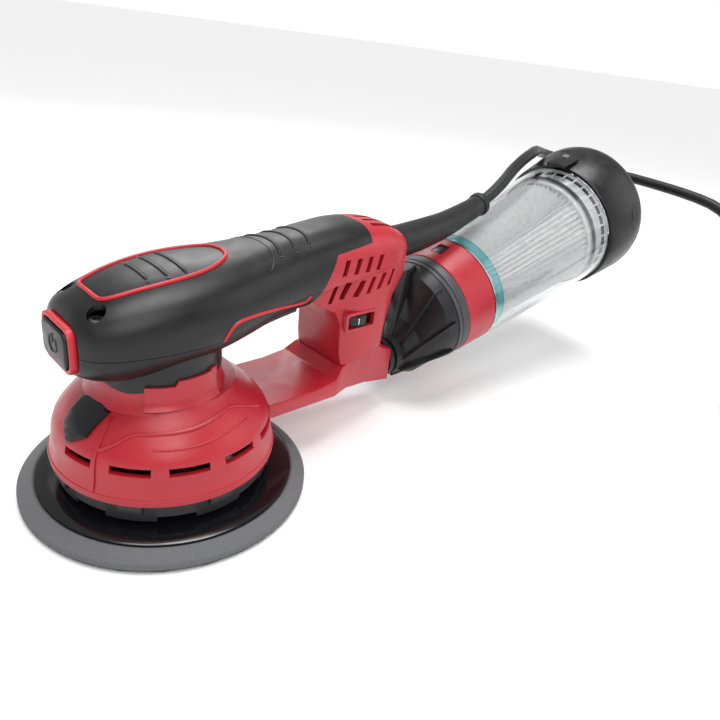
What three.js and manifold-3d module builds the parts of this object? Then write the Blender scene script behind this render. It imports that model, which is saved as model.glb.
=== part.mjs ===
// Random orbital sander with a clear dust canister, in millimetres.
// +X runs from the front button to the canister, +Z is up, and z = 0 is the sanding face.
// Sizes below are measured from the motor axis; the last lines move the origin under the middle of the tool.
import * as THREE from "three";
import { mergeVertices } from "three/addons/utils/BufferGeometryUtils.js";
import Module from "manifold-3d";

const wasm = await Module();
wasm.setup();

// Driving dimensions
const GAP = 0.3; // clearance between pieces that touch
const ORBIT = 1.5; // offset of the pad axis from the motor axis
const PAD_R = 75; // sanding pad
const PLATE_R = 66.7; // backing plate
const SHROUD_R = 57.2; // lower rim of the motor shroud
const NECK_X = -4; // the neck sits a little forward of the motor axis
const NECK_R = 30.5;
const WALL = 2.6; // moulded shells
const TILT = 0.285; // canister axis, radians above level
const CAN_START = [205.6, 64.5]; // x, z where the red band begins
const BAND_R = [38.3, 40.2]; // at the band's start and end
const BAND_END = 24.7; // distances along the canister axis
const TUBE_END = 154.2;
const TUBE_END_R = 49.7;
const CAP_END = 203;
const CAP_STEP = 2.2; // the cap starts this much wider than the tube
const CAP_R = 54.8; // and widens to this
const FILTER_R = [33.5, 42.5]; // at its front and far end
const PORT = [160, 33.5]; // x, z of the dust port's mouth
const PORT_R = 10.5;
const PAD_HOLES = 8; // extraction holes in the pad
const HANDLE_W = 24; // half width of the handle and the rear housing
const NOSE_X = -48.5; // flat front of the head
const DUCT_W = 26; // half width of the dust duct
const CABLE_R = 4.3;
const SLEEVE_NECK_R = 7.3; // where the cable sleeve passes the housing wall
// The sleeve's centre line, from inside the rear housing
const SLEEVE = [
  [143, 0, 115.5], [150.3, 0, 115.5], [151, 0, 115.5], [175, 0, 117.5], [205, 1, 122], [235, 3, 129.5], [247, 4, 133],
];
const SLEEVE_RADII = [SLEEVE_NECK_R, SLEEVE_NECK_R, 10.5, 10.5, 9, 7.4, 7.2];
const COIL = { x: 410, y: -216.5, r: 44, turnsWide: 2, turnsHigh: 6 }; // the stored cable
const FAN_BLADES = 11;
const SLOT_START = -163; // degrees round the shroud to the first air slot
const SLOT_PITCH = 28.5;
const SKIRT_NOTCHES = 8;
const NECK_TOP = 74;
const BOOT_TOP = 90; // the boot ends here, inside the head
const SCREW = [-39.3, 16.4]; // x and side offset of the two head screws
const DIAL = [113.5, -15.2, 80]; // centre of the speed dial
const PLEATS = 24;
const CENTRE_X = 169.65; // middle of the tool's length, from the motor axis

// ---- solids -------------------------------------------------------------------------------

function solid(geometry) {
  const bare = new THREE.BufferGeometry();
  bare.setAttribute("position", geometry.getAttribute("position"));
  if (geometry.index) bare.setIndex(geometry.index);
  const merged = mergeVertices(bare, 1e-4);
  const triVerts = new Uint32Array(merged.index.array);
  const vertProperties = new Float32Array(merged.getAttribute("position").array);
  const body = new wasm.Manifold(new wasm.Mesh({ numProp: 3, vertProperties, triVerts }));
  if (body.volume() > 0) return body;
  const flipped = triVerts.slice().reverse();
  return new wasm.Manifold(new wasm.Mesh({ numProp: 3, vertProperties, triVerts: flipped }));
}

function lathe(profile, segments = 32) {
  const points = profile.map(([r, z]) => new THREE.Vector2(r, z));
  return solid(new THREE.LatheGeometry(points, segments).rotateX(Math.PI / 2));
}

function ring(rIn, rOut, z0, z1, segments = 24) {
  return lathe([[rIn, z0], [rOut, z0], [rOut, z1], [rIn, z1], [rIn, z0]], segments);
}

function disc(r, z0, z1, segments = 24) {
  return lathe([[0, z0], [r, z0], [r, z1], [0, z1]], segments);
}

function box(x0, x1, y0, y1, z0, z1) {
  const size = new THREE.BoxGeometry(x1 - x0, y1 - y0, z1 - z0);
  return solid(size.translate((x0 + x1) / 2, (y0 + y1) / 2, (z0 + z1) / 2));
}

// A flat outline [x, z] made thick along Y
function slabXZ(outline, y0, y1) {
  const shape = new THREE.Shape(outline.map(([x, z]) => new THREE.Vector2(x, z)));
  const prism = new THREE.ExtrudeGeometry(shape, { depth: y1 - y0, bevelEnabled: false });
  return solid(prism.rotateX(Math.PI / 2).translate(0, y1, 0));
}

// A flat outline [x, y] made thick along Z
function slabXY(outline, z0, z1) {
  const shape = new THREE.Shape(outline.map(([x, y]) => new THREE.Vector2(x, y)));
  return solid(new THREE.ExtrudeGeometry(shape, { depth: z1 - z0, bevelEnabled: false }).translate(0, 0, z0));
}

// A closed skin through rings of equal point counts, with a fan over each end
function loft(rings) {
  const n = rings[0].length;
  const positions = rings.flat(2);
  const index = [];
  for (let i = 0; i < rings.length - 1; i++) {
    for (let j = 0; j < n; j++) {
      const a = i * n + j;
      const b = i * n + ((j + 1) % n);
      index.push(a, b, b + n, a, b + n, a + n);
    }
  }
  for (const [ringIndex, forward] of [[0, false], [rings.length - 1, true]]) {
    const centre = positions.length / 3;
    const mean = [0, 1, 2].map((k) => rings[ringIndex].reduce((sum, p) => sum + p[k], 0) / n);
    positions.push(...mean);
    for (let j = 0; j < n; j++) {
      const a = ringIndex * n + j;
      const b = ringIndex * n + ((j + 1) % n);
      index.push(...(forward ? [a, b, centre] : [b, a, centre]));
    }
  }
  const geometry = new THREE.BufferGeometry();
  geometry.setAttribute("position", new THREE.Float32BufferAttribute(positions, 3));
  geometry.setIndex(index);
  return solid(geometry);
}

// A flat outline [y, z] made thick along X
function slabYZ(outline, x0, x1) {
  const shape = new THREE.Shape(outline.map(([y, z]) => new THREE.Vector2(y, z)));
  const prism = new THREE.ExtrudeGeometry(shape, { depth: x1 - x0, bevelEnabled: false });
  return solid(prism.rotateX(Math.PI / 2).rotateZ(Math.PI / 2).translate(x0, 0, 0));
}

// A rectangle with its corners cut back by c
function cutCorners(a0, a1, b0, b1, c) {
  return [[a0 + c, b0], [a1 - c, b0], [a1, b0 + c], [a1, b1 - c], [a1 - c, b1], [a0 + c, b1], [a0, b1 - c], [a0, b0 + c]];
}

// A rounded section across X: half width w, from z0 to z1, squarer as power grows
function section(x, w, z0, z1, power = 2.6, count = 16) {
  const points = [];
  for (let i = 0; i < count; i++) {
    const angle = (2 * Math.PI * i) / count;
    const c = Math.cos(angle);
    const s = Math.sin(angle);
    const y = w * Math.sign(c) * Math.abs(c) ** (2 / power);
    const z = (z0 + z1) / 2 + ((z1 - z0) / 2) * Math.sign(s) * Math.abs(s) ** (2 / power);
    points.push([x, y, z]);
  }
  return points;
}

function join(first, ...others) {
  return others.reduce((sum, other) => sum.add(other), first);
}

function cut(first, ...others) {
  return others.reduce((rest, other) => rest.subtract(other), first);
}

const parts = new THREE.Group();
const canister = new THREE.Group(); // its own +Z runs along the canister axis
canister.position.set(CAN_START[0], 0, CAN_START[1]);
canister.rotation.y = Math.PI / 2 - TILT;
parts.add(canister);

function add(name, body, [color, roughness, metalness], group = parts) {
  const { vertProperties, triVerts, numProp } = body.getMesh();
  if (numProp !== 3) throw new Error(`${name} has extra vertex properties`);
  const geometry = new THREE.BufferGeometry();
  geometry.setAttribute("position", new THREE.BufferAttribute(vertProperties, 3));
  geometry.setIndex(new THREE.BufferAttribute(triVerts, 1));
  geometry.computeVertexNormals();
  const mesh = new THREE.Mesh(geometry, new THREE.MeshStandardMaterial({ color, roughness, metalness }));
  mesh.name = name;
  group.add(mesh);
}

const RED = [0xc4303c, 0.45, 0];
const SOFT_BLACK = [0x1d1d20, 0.6, 0];
const HARD_BLACK = [0x131316, 0.3, 0];
const FOAM = [0x55575b, 0.95, 0];
const HOOK = [0x1b1b1d, 1, 0];
const RUBBER = [0x26272a, 0.8, 0];
const STEEL = [0xb9bcc0, 0.3, 1];
const COPPER = [0xb06a3a, 0.4, 1];
const ALUMINIUM = [0xc9ccd0, 0.45, 1];
const CLEAR = [0xdfe8ea, 0.05, 0];
const PAPER = [0xf2f3f1, 0.9, 0];
const BOARD = [0x1f5b3a, 0.6, 0];

// ---- sanding pad --------------------------------------------------------------------------

function padHoles(radius, z0, z1) {
  const holes = [];
  for (let i = 0; i < PAD_HOLES; i++) {
    const angle = (2 * Math.PI * i) / PAD_HOLES;
    const drill = disc(radius, z0, z1, 8);
    holes.push(drill.translate([ORBIT + 40 * Math.cos(angle), 40 * Math.sin(angle), 0]));
  }
  return holes;
}

function addPad() {
  const hook = ring(8.3, PAD_R - 1.2, 0, 1.5);
  const foam = lathe([
    [8, 1.8], [PAD_R, 1.8], [PAD_R, 5.4], [PLATE_R + 1.2, 9.2], [PLATE_R + 1.2, 8.6],
    [PLATE_R + 0.4, 8], [8, 8], [8, 1.8],
  ]);
  const plate = lathe([
    [3.6, 8.3], [PLATE_R - 0.3, 8.3], [PLATE_R, 8.8], [PLATE_R - 0.4, 10], [46, 11.2], [38, 12.6], [3.6, 12.6],
    [3.6, 8.3],
  ]);
  const spindle = lathe([[3.4, 12.9], [15, 12.9], [15, 16.5], [6, 16.5], [6, 29.5], [3.4, 29.5], [3.4, 12.9]], 16);
  const screw = lathe([[0, 5.8], [2.2, 5.8], [2.2, 4], [6, 4], [6, 8], [3.1, 8], [3.1, 27], [0, 27]], 12);
  const onAxis = (body) => body.translate([ORBIT, 0, 0]);
  add("pad_hook_face", cut(onAxis(hook), ...padHoles(5, -1, 3)), HOOK);
  add("pad_foam", cut(onAxis(foam), ...padHoles(5, 1, 10)), FOAM);
  add("pad_backing_plate", cut(onAxis(plate), ...padHoles(4.5, 7, 14)), HARD_BLACK);
  add("pad_spindle", onAxis(spindle), STEEL);
  add("pad_screw", onAxis(screw), STEEL);
}

// ---- motor --------------------------------------------------------------------------------

function fan() {
  const hub = ring(5.3, 16, 40.5, 50, 14);
  const plate = ring(15, 44, 40.5, 42, 22);
  const blades = [];
  for (let i = 0; i < FAN_BLADES; i++) {
    const blade = box(15.5, 43, -0.8, 0.8, 41.5, 49);
    blades.push(blade.rotate([0, 0, (360 * i) / FAN_BLADES]));
  }
  return join(hub, plate, ...blades);
}

function addMotor() {
  const hubCup = disc(19, 21.5, 34, 20);
  const seat = disc(13.3, 20, 30.5, 20).translate([ORBIT, 0, 0]);
  add("eccentric_hub", cut(hubCup, seat, disc(5.3, 30, 35, 12)), STEEL);
  add("pad_bearing", ring(6.15, 12.9, 21.7, 30.2, 20).translate([ORBIT, 0, 0]), STEEL);
  add("counterweight", cut(ring(6, 38, 34.3, 39.5, 20), box(2, 60, -60, 60, 30, 45)), STEEL);
  add("cooling_fan", fan(), HARD_BLACK);
  add("motor_shaft", disc(5, 31, 101, 14), STEEL);
  add("lower_bearing", ring(5.3, 11, 53, 60, 16), STEEL);
  add("bearing_plate", ring(11.3, 40, 52.5, 55.5, 20), ALUMINIUM);
  add("rotor", ring(5.3, 13, 62, 88, 16), STEEL);
  add("stator", ring(14, 23.8, 63, 87), COPPER);
  add("upper_bearing", ring(5.3, 9.5, 93, 99, 16), STEEL);
  add("upper_bearing_seat", ring(9.8, 24, 92, 96, 16), ALUMINIUM);
}

// ---- shroud and neck ----------------------------------------------------------------------

// radius, z of the shroud's outer skin, from its rim to the foot of the neck
const SHROUD_OUTSIDE = [
  [SHROUD_R, 24.4], [SHROUD_R, 27.5], [55.6, 32.5], [55.2, 39], [53.6, 45], [51, 49], [47.5, 53.5], [42.5, 58],
  [38, 61.5], [35.5, 64],
];

// The inner skin, from its rim up
const SHROUD_INSIDE = [
  [SHROUD_R - WALL, 24.4], [52.9, 33], [52.4, 39], [48.4, 48], [39.9, 57], [32.9, 61],
];

function shroudSkin() {
  const topZ = SHROUD_OUTSIDE[SHROUD_OUTSIDE.length - 1][1];
  const top = [[28.5, topZ], [28.5, topZ - 3]];
  return lathe([...SHROUD_OUTSIDE, ...top, ...SHROUD_INSIDE.toReversed(), [SHROUD_R, 24.4]]);
}

function shroud() {
  const slots = [];
  for (let i = 0; i < 10; i++) {
    const slot = box(48, 62, -9.5, 9.5, 39.5, 43.5);
    slots.push(slot.rotate([0, 0, SLOT_START + SLOT_PITCH * i]));
  }
  const neck = cut(disc(NECK_R + 1, 62, NECK_TOP, 32), disc(NECK_R - 1.8, 60, NECK_TOP + 1, 28));
  const dustWay = box(40, 62, -10, 10, 34.6, 38.4);
  return cut(join(shroudSkin(), neck.translate([NECK_X, 0, 0])), ...slots, dustWay);
}

function dustSkirt() {
  const skin = ring(50, 54, 13.5, 24.1, 28);
  const notches = [];
  for (let i = 0; i < SKIRT_NOTCHES; i++) {
    notches.push(box(48, 56, -9, 9, 13, 16.5).rotate([0, 0, (360 * (i + 0.5)) / SKIRT_NOTCHES]));
  }
  return cut(skin, ...notches);
}

function addShroud() {
  add("motor_shroud", shroud(), RED);
  add("dust_skirt", dustSkirt(), RUBBER);
  const outline = [[-19, 62], [14, 62], [18, 66], [18, 76], [12, 80], [-15, 78.5], [-19, 76]];
  const plate = slabYZ(outline, 15, NECK_R + 6).rotate([0, 0, -93]);
  const wrap = ring(NECK_R + 1.3, NECK_R + 2.6, 60, 84, 32);
  add("neck_label_plate", wrap.intersect(plate).translate([NECK_X, 0, 0]).subtract(shroudBulk(GAP)), RED);
  const boot = ring(NECK_R - 1.6, NECK_R + 0.8, NECK_TOP + GAP, BOOT_TOP, 28);
  add("neck_boot", boot.translate([NECK_X, 0, 0]), RUBBER);
  const shield = [[-11, 5.5], [0, 8.5], [11, 5.5], [9.5, -4], [0, -9.5], [-9.5, -4]];
  const stamp = slabYZ(shield.map(([y, s]) => [y, 55.5 + s]), 0, 70).rotate([0, 0, -172]);
  const raised = SHROUD_OUTSIDE.map(([r, z]) => [r + 1.2, z + 0.6]);
  const cap = lathe([[0, 24], ...raised, [0, 64.6]], 32);
  add("shroud_badge", cut(cap.intersect(stamp), shroudBulk(GAP)), HARD_BLACK);
}

// The shroud's whole volume, swollen by a margin, for cutting its neighbours
function shroudBulk(margin) {
  const profile = SHROUD_OUTSIDE.map(([r, z]) => [r + margin, z + margin]);
  return lathe([[0, 20], [SHROUD_R + margin, 20], ...profile, [0, 64 + margin]], 32);
}

// ---- head and handle ----------------------------------------------------------------------

// x, half width, underside z, top z, squareness
const HEAD = [
  [NOSE_X, 19, 80.5, 106.5, 3], [-45.5, 23.5, 79, 110, 2.8], [-41, 27, 77, 113, 2.6], [-32, 31, 75, 117, 2.5],
  [-18, 34.5, 75.5, 121, 2.4], [0, 36, 77.5, 124, 2.4], [18, 35, 80, 125.5, 2.4], [35, 32, 83.5, 126.5, 2.4],
  [52, 28.5, 87.5, 128, 2.4], [70, 26, 90, 130, 2.4], [90, HANDLE_W + 1, 91, 133, 2.6],
  [110, HANDLE_W + 1, 92, 135, 2.8], [130, HANDLE_W, 94, 134, 3], [142, HANDLE_W - 1.5, 98, 131.5, 3],
  [150, HANDLE_W - 5, 102, 127.5, 3],
];
const PARTING = [[-70, 92.5], [10, 93.5], [35, 97], [60, 101.5], [80, 104]]; // between the black halves
const SEAM_END = [150, 113]; // where the seam of the rear housing ends
const REAR_EDGE = [[80, 104], [90, 123], [116, 127], [119, 140]]; // where black meets red

function headSkin(inset) {
  return loft(HEAD.map(([x, w, low, high, power], i) => {
    const end = i === 0 ? inset : i === HEAD.length - 1 ? -inset : 0;
    return section(x + end, w - inset, low + inset, high - inset, power);
  }));
}

const shift = (outline, dx, dz) => outline.map(([x, z]) => [x + dx, z + dz]);

function upperShell(skin) {
  const above = [...shift(PARTING, 0, GAP / 2), ...shift(REAR_EDGE, -GAP / 2, GAP / 2).slice(1), [-70, 140]];
  const bodies = skin.intersect(slabXZ(above, -60, 60));
  const bosses = [];
  const bores = [];
  for (const side of [-1, 1]) {
    const tube = cut(disc(5.6, 98, 109, 10), disc(2, 97, 110, 8));
    bosses.push(tube.translate([SCREW[0], side * SCREW[1], 0]));
    bores.push(disc(4.4, 107, 125, 12).translate([SCREW[0], side * SCREW[1], 0]));
  }
  return cut(join(bodies, ...bosses), ...bores, nosePocket(GAP));
}

function nosePocket(margin) {
  return slabYZ(cutCorners(-13.5 - margin, 13.5 + margin, 84 - margin, 103 + margin, 4), NOSE_X - 10, NOSE_X + 8);
}

function lowerShell(skin) {
  const below = [...shift(PARTING, 0, -GAP / 2), [76, 97], [68, 60], [-70, 60]];
  const hole = disc(NECK_R + 1.1, 60, BOOT_TOP + 4, 32).translate([NECK_X, 0, 0]);
  return cut(skin.intersect(slabXZ(below, -60, 60)), hole, nosePocket(GAP));
}

// A band that stands proud of the head's skin, cut to a plan outline
function onSkin(plan, rise, dz) {
  return cut(headSkin(0).translate([0, 0, rise]).intersect(plan), headSkin(0).translate([0, 0, dz]));
}

function topTrim() {
  const half = [[-36, 8], [-34.5, 12], [-24, 16], [-12, 18.2], [2, 18.6], [16, 16.3], [27, 10.5], [31, 4]];
  const outline = (grow) => [
    ...half.map(([x, y]) => [x + Math.sign(x) * grow, y + grow]),
    ...half.map(([x, y]) => [x + Math.sign(x) * grow, -y - grow]).reverse(),
  ];
  return onSkin(cut(slabXY(outline(0), 100, 140), slabXY(outline(-1.8), 99, 141)), 1, GAP);
}

function addHead() {
  const skin = cut(headSkin(0), headSkin(WALL));
  add("head_shell_upper", upperShell(skin), SOFT_BLACK);
  add("head_shell_lower", lowerShell(skin), SOFT_BLACK);
  add("top_trim", topTrim(), RED);
  const gripPlan = (grow) => slabXY(cutCorners(33 - grow, 74 + grow, -18 - grow, 18 + grow, 6), 60, 104);
  add("grip_inlay", onSkin(gripPlan(0), -2.6, -GAP), SOFT_BLACK);
  add("grip_trim", onSkin(cut(gripPlan(2.6), gripPlan(GAP)), -1.6, -GAP), RED);
  const bezel = slabYZ(cutCorners(-16, 16, 82, 105, 5), NOSE_X - 4, NOSE_X - GAP);
  const inside = slabYZ(cutCorners(-14, 14, 84, 103, 4), NOSE_X - 6, NOSE_X + 2);
  add("front_bezel", cut(bezel, inside), RED);
  const button = slabYZ(cutCorners(-13, 13, 85, 102, 3.5), NOSE_X - 5, NOSE_X - 1);
  const stem = box(NOSE_X - 2, NOSE_X + 4, -4, 4, 90, 97);
  add("power_button", join(button, stem), SOFT_BLACK);
  add("power_switch", box(NOSE_X + 6.3, NOSE_X + 12.5, -7, 7, 88, 99), HARD_BLACK);
  for (const [side, name] of [[-1, "head_screw_right"], [1, "head_screw_left"]]) {
    const screw = lathe([[0, 96], [1.7, 96], [1.7, 109.3], [3.8, 109.3], [3.8, 111.5], [1.6, 111.5], [1.6, 110.4], [0, 110.4]], 10);
    add(name, screw.translate([SCREW[0], side * SCREW[1], 0]), STEEL);
  }
}

// ---- rear housing, column and duct --------------------------------------------------------

function upperRear(skin) {
  const region = [...shift(REAR_EDGE, GAP / 2, 0), [160, 140], [160, 113.5], [SEAM_END[0], SEAM_END[1]]];
  region[0] = [80 + GAP, 104 + GAP / 2];
  const slots = [];
  for (let i = 0; i < 4; i++) {
    slots.push(box(97 + 8 * i, 100 + 8 * i, -40, 40, 112, 118.5));
    slots.push(box(124, 144, -13 + 7.5 * i, -9.5 + 7.5 * i, 127, 140));
  }
  return cut(skin.intersect(slabXZ(region, -60, 60)), ...slots, sleeveBore());
}

// The hole in the back of the rear housing that holds the cable sleeve
function sleeveBore() {
  return disc(SLEEVE_NECK_R + GAP, 140, 160, 16).rotate([0, 90, 0]).translate([0, 0, SLEEVE[0][2]]);
}

// Side view of the column that joins the handle to the duct
const COLUMN = [
  [80, 103.7], [77, 97], [86, 91.5], [97, 86], [101, 78], [102, 60], [104, 50.5], [133, 58.5], [133.5, 66], [135, 76],
  [140, 92], [150, 104], [150, 112.7],
];

function column() {
  const plan = (w) => {
    const side = [[70, w - 5], [100, w - 5], [112, w], [133, w], [151, w - 5]];
    return slabXY([...side.map(([x, y]) => [x, -y]), ...side.reverse()], 20, 120);
  };
  const outer = slabXZ(COLUMN, -40, 40).intersect(plan(HANDLE_W));
  const core = [[90, 103], [95, 93], [101, 88], [103.3, 82], [103.6, 56], [128, 62], [129, 70], [137, 94], [146, 106], [146, 120], [90, 120]];
  const hollow = slabXZ(core, -40, 40).intersect(plan(HANDLE_W - WALL));
  const slots = [];
  for (let i = 0; i < 5; i++) {
    const bar = box(-1.6, 1.6, -40, 40, -5, 5).rotate([0, 25, 0]);
    slots.push(bar.translate([98 + 8.4 * i, 0, 98 + 1.2 * i]));
  }
  const dialWindow = box(DIAL[0] - 10.2, DIAL[0] + 10.2, -40, -12, DIAL[2] - 4.2, DIAL[2] + 4.2);
  const joinHandle = box(70, 92, -18, 18, 96, 120);
  return cut(outer, hollow, ...slots, dialWindow, joinHandle, sleeveBore());
}

// Side view of the duct from the shroud to the port
const DUCT = [
  [44, 33.5], [100, 33.5], [130, 30], [158, 22.5], [158, 45.5], [150, 49], [133.3, 58.2], [104, 50.2], [97, 44], [80, 42],
  [44, 42],
];

function duct() {
  const side = [[40, DUCT_W], [98, DUCT_W], [112, 20], [135, 17], [160, 12.5]];
  const plan = slabXY([...side.map(([x, y]) => [x, -y]), ...side.toReversed()], 10, 70);
  const wayXZ = [[40, 35.5], [101, 35.5], [132, 32], [159, 26], [159, 41], [150, 44], [104, 46], [97, 40], [40, 40]];
  const way = slabXZ(wayXZ, -10, 10);
  const feet = [58, 103].map((x) => disc(4.2, 29.5, 34, 12).translate([x, -12, 0]));
  return cut(join(slabXZ(DUCT, -40, 40).intersect(plan), ...feet), way, shroudBulk(GAP));
}

function addRear() {
  const skin = cut(headSkin(0), headSkin(WALL));
  add("rear_housing_upper", upperRear(skin), RED);
  add("rear_housing_column", column(), RED);
  add("dust_duct", duct(), RED);
  const wheel = cut(disc(9.5, -3.6, 3.6), disc(2.3, -6, 6, 12));
  add("speed_dial", wheel.translate(DIAL), HARD_BLACK);
  const axle = disc(2, DIAL[2] - 8, DIAL[2] + 8, 12);
  add("speed_dial_axle", axle.translate([DIAL[0], DIAL[1], 0]), STEEL);
  add("control_board", box(46, 116, -15, 15, 108, 110), BOARD);
  add("board_capacitor", disc(6, -14, 14, 14).rotate([0, 90, 0]).translate([66, 0, 116.5]), HARD_BLACK);
}

// ---- dust port, adapter and canister ------------------------------------------------------

function circleAt([cx, cz], r, tilt, count = 28) {
  const points = [];
  for (let i = 0; i < count; i++) {
    const angle = (2 * Math.PI * i) / count;
    const up = r * Math.sin(angle);
    points.push([cx - up * Math.sin(tilt), r * Math.cos(angle), cz + up * Math.cos(tilt)]);
  }
  return points;
}

// A point on the canister axis, at distance s past the start of the red band
function onAxis(s) {
  return [CAN_START[0] + s * Math.cos(TILT), CAN_START[1] + s * Math.sin(TILT)];
}

function adapter() {
  const stations = (inset) => [
    circleAt([PORT[0] + 5, PORT[1]], PORT_R + 3 - inset, 0),
    circleAt([PORT[0] + 13, PORT[1] + 0.5], PORT_R + 3.5 - inset, 0.03),
    circleAt([PORT[0] + 22, PORT[1] + 4], 20 - inset, 0.1),
    circleAt(onAxis(-18), 34.5 - inset, TILT),
    circleAt(onAxis(-10), 36.8 - inset, TILT),
    circleAt(onAxis(-6.3), 36.8 - inset, TILT),
  ];
  const outer = loft(stations(0));
  const inner = loft([circleAt([PORT[0] + 4, PORT[1]], PORT_R, 0), ...stations(2.4).slice(1, -1),
    circleAt(onAxis(-5), 34.4, TILT)]);
  const ribs = [-62, -20, 20, 62].map((turn) => {
    const rib = box(-4, 44, -1, 1, 10, 25).rotate([0, -42, 0]).rotate([turn, 0, 0]);
    return rib.translate([PORT[0] + 6, 0, PORT[1] - 6]);
  });
  const reach = loft([circleAt([PORT[0] + 6, PORT[1]], PORT_R + 3, 0), circleAt(onAxis(-8), 36.8, TILT)]);
  return cut(join(outer, ...ribs.map((rib) => rib.intersect(reach))), inner);
}

function addCanister() {
  const tubeOut = (s) => BAND_R[1] + ((TUBE_END_R - BAND_R[1]) * (s - BAND_END)) / (TUBE_END - BAND_END);
  const seal = ring(PORT_R - 2, PORT_R + 3, 0.3, 4.4, 20);
  add("port_seal", seal.rotate([0, 90, 0]).translate([PORT[0] - 2, 0, PORT[1]]), RUBBER);
  add("canister_adapter", adapter(), HARD_BLACK);
  add("canister_grey_ring", ring(34.7, 37.6, -6, -GAP), RUBBER, canister);
  const band = lathe([[34.7, 0], [BAND_R[0], 0], [BAND_R[1], BAND_END], [34.7, BAND_END], [34.7, 0]]);
  const latchHole = box(-45, -30, -4.5, 4.5, 8, 18);
  add("canister_band", cut(band, latchHole), RED, canister);
  add("release_latch", box(-38.8, -31, -4.1, 4.1, 8.4, 17.6), HARD_BLACK, canister);
  const s0 = BAND_END + GAP;
  add("canister_tube", lathe([[tubeOut(s0) - 2, s0], [tubeOut(s0), s0], [TUBE_END_R, TUBE_END],
    [TUBE_END_R - 2, TUBE_END], [tubeOut(s0) - 2, s0]]), CLEAR, canister);
  add("filter_front_plate", ring(15, 36.5, s0 + 0.5, s0 + 3.5), PAPER, canister);
  const star = (rOut, s) => Array.from({ length: 2 * PLEATS }, (_, i) => {
    const r = rOut - (i % 2 ? 4.5 : 0);
    const angle = (Math.PI * i) / PLEATS;
    return [r * Math.cos(angle), r * Math.sin(angle), s];
  });
  const pleats = cut(loft([star(FILTER_R[0], s0 + 3.8), star(FILTER_R[1], 134)]), disc(22, 0, 200, 16));
  add("pleated_filter", pleats, PAPER, canister);
  add("filter_end_plate", disc(FILTER_R[1] + 1, 134.3, 153), PAPER, canister);
  add("canister_seal_ring", ring(44.4, 45.9, 138.5, 140.5), RUBBER, canister);
  const capR = TUBE_END_R + CAP_STEP;
  const rim = TUBE_END + GAP;
  const capBody = lathe([
    [0, CAP_END], [44, CAP_END], [51, CAP_END - 2.5], [CAP_R - 0.6, CAP_END - 8], [CAP_R, CAP_END - 16], [capR, rim],
    [capR - 4, rim], [capR - 4, CAP_END - 12], [42, CAP_END - 5], [0, CAP_END - 5],
  ]);
  add("canister_cap", capBody, HARD_BLACK, canister);
  const clip = box(-capR - 4.8, -capR - 1.6, -8, 8, TUBE_END - 8, TUBE_END + 14);
  add("cap_clip", clip, HARD_BLACK, canister);
  add("cap_clip_screw", disc(2.6, 0, 1.2, 12).rotate([0, -90, 0]).translate([-capR - 5.1, 0, TUBE_END + 7]), STEEL, canister);
}

// ---- mains cable --------------------------------------------------------------------------

// A tapered sleeve through points, with a radius at each
function taper(points, radii, count = 14) {
  const curve = new THREE.CatmullRomCurve3(points.map((p) => new THREE.Vector3(...p)));
  const rings = points.map((point, i) => {
    const tangent = curve.getTangent(i / (points.length - 1));
    const side = new THREE.Vector3(0, 0, 1).cross(tangent).normalize();
    const up = tangent.clone().cross(side);
    return Array.from({ length: count }, (_, j) => {
      const angle = (2 * Math.PI * j) / count;
      const centre = new THREE.Vector3(...point);
      centre.addScaledVector(side, radii[i] * Math.cos(angle)).addScaledVector(up, radii[i] * Math.sin(angle));
      return centre.toArray();
    });
  });
  return loft(rings);
}

const SLEEVE_END = [248.5, 4.2, 133.5];

// The cable's route from the sleeve's end to the coil
const ROUTE = [
  [249.5, 4.3, 134], [262, 4.8, 140], [276, 7, 147], [291, 11, 154], [310, 16.5, 159.5], [330, 23.5, 162],
  [350, 33, 162], [370, 43.5, 160.5], [388, 52, 158], [406, 57, 155], [424, 57.5, 152], [441, 51, 149.8],
  [455, 36, 146.8], [462, 16, 144.8], [465, -6, 144], [466, -30, 143], [466, -54, 141.5], [465.5, -78, 138.4],
  [465, -95, 131.6], [464.5, -110, 120.4], [464, -121, 105.8], [463.5, -128, 88.7], [463, -130.5, 72.7],
  [463, -133, 56.8], [463, -140, 39.8], [463, -151, 25.1], [463, -166, 13.9], [463, -183, 6.9],
];

function addCable() {
  const collar = taper([[245, 3.9, 132.4], SLEEVE_END], [8.4, 8.2]);
  add("cable_strain_relief", join(taper(SLEEVE, SLEEVE_RADII), collar), RUBBER);
  const curve = new THREE.CatmullRomCurve3(ROUTE.map((p) => new THREE.Vector3(...p)));
  const outline = Array.from({ length: 8 }, (_, j) => {
    const angle = (2 * Math.PI * j) / 8;
    return new THREE.Vector2(CABLE_R * Math.cos(angle), CABLE_R * Math.sin(angle));
  });
  const tube = new THREE.ExtrudeGeometry(new THREE.Shape(outline), { steps: 34, extrudePath: curve });
  add("mains_cable", solid(tube), RUBBER);
  const rIn = COIL.r - COIL.turnsWide * CABLE_R;
  const rOut = COIL.r + COIL.turnsWide * CABLE_R;
  const height = 2 * CABLE_R * COIL.turnsHigh;
  const coil = ring(rIn, rOut, 0, height, 28);
  add("mains_cable_coil", coil.translate([COIL.x, COIL.y, 0]), RUBBER);
  const place = (body) => body.rotate([0, 0, 180]).translate([COIL.x - 26, COIL.y - 38, height + GAP]);
  const plug = slabXZ([[-26, 0], [14, 0], [20, 6], [20, 30], [14, 36], [-4, 36], [-26, 24]], -18, 18);
  const pins = (side) => disc(2.4, 0, 19, 16).rotate([0, 90, 0]).translate([20 + GAP, side * 9.5, 18]);
  add("plug_body", place(plug), RUBBER);
  add("plug_pin_left", place(pins(1)), STEEL);
  add("plug_pin_right", place(pins(-1)), STEEL);
}

addPad();
addMotor();
addShroud();
addHead();
addRear();
addCanister();
addCable();
parts.position.x = -CENTRE_X;

export default parts;
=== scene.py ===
"""Random orbital sander with a clear dust canister, in metres.

Lengths below are measured from the motor axis, as the CAD's are. +X runs to the canister and +Z is up.
"""

import math
import random

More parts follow.
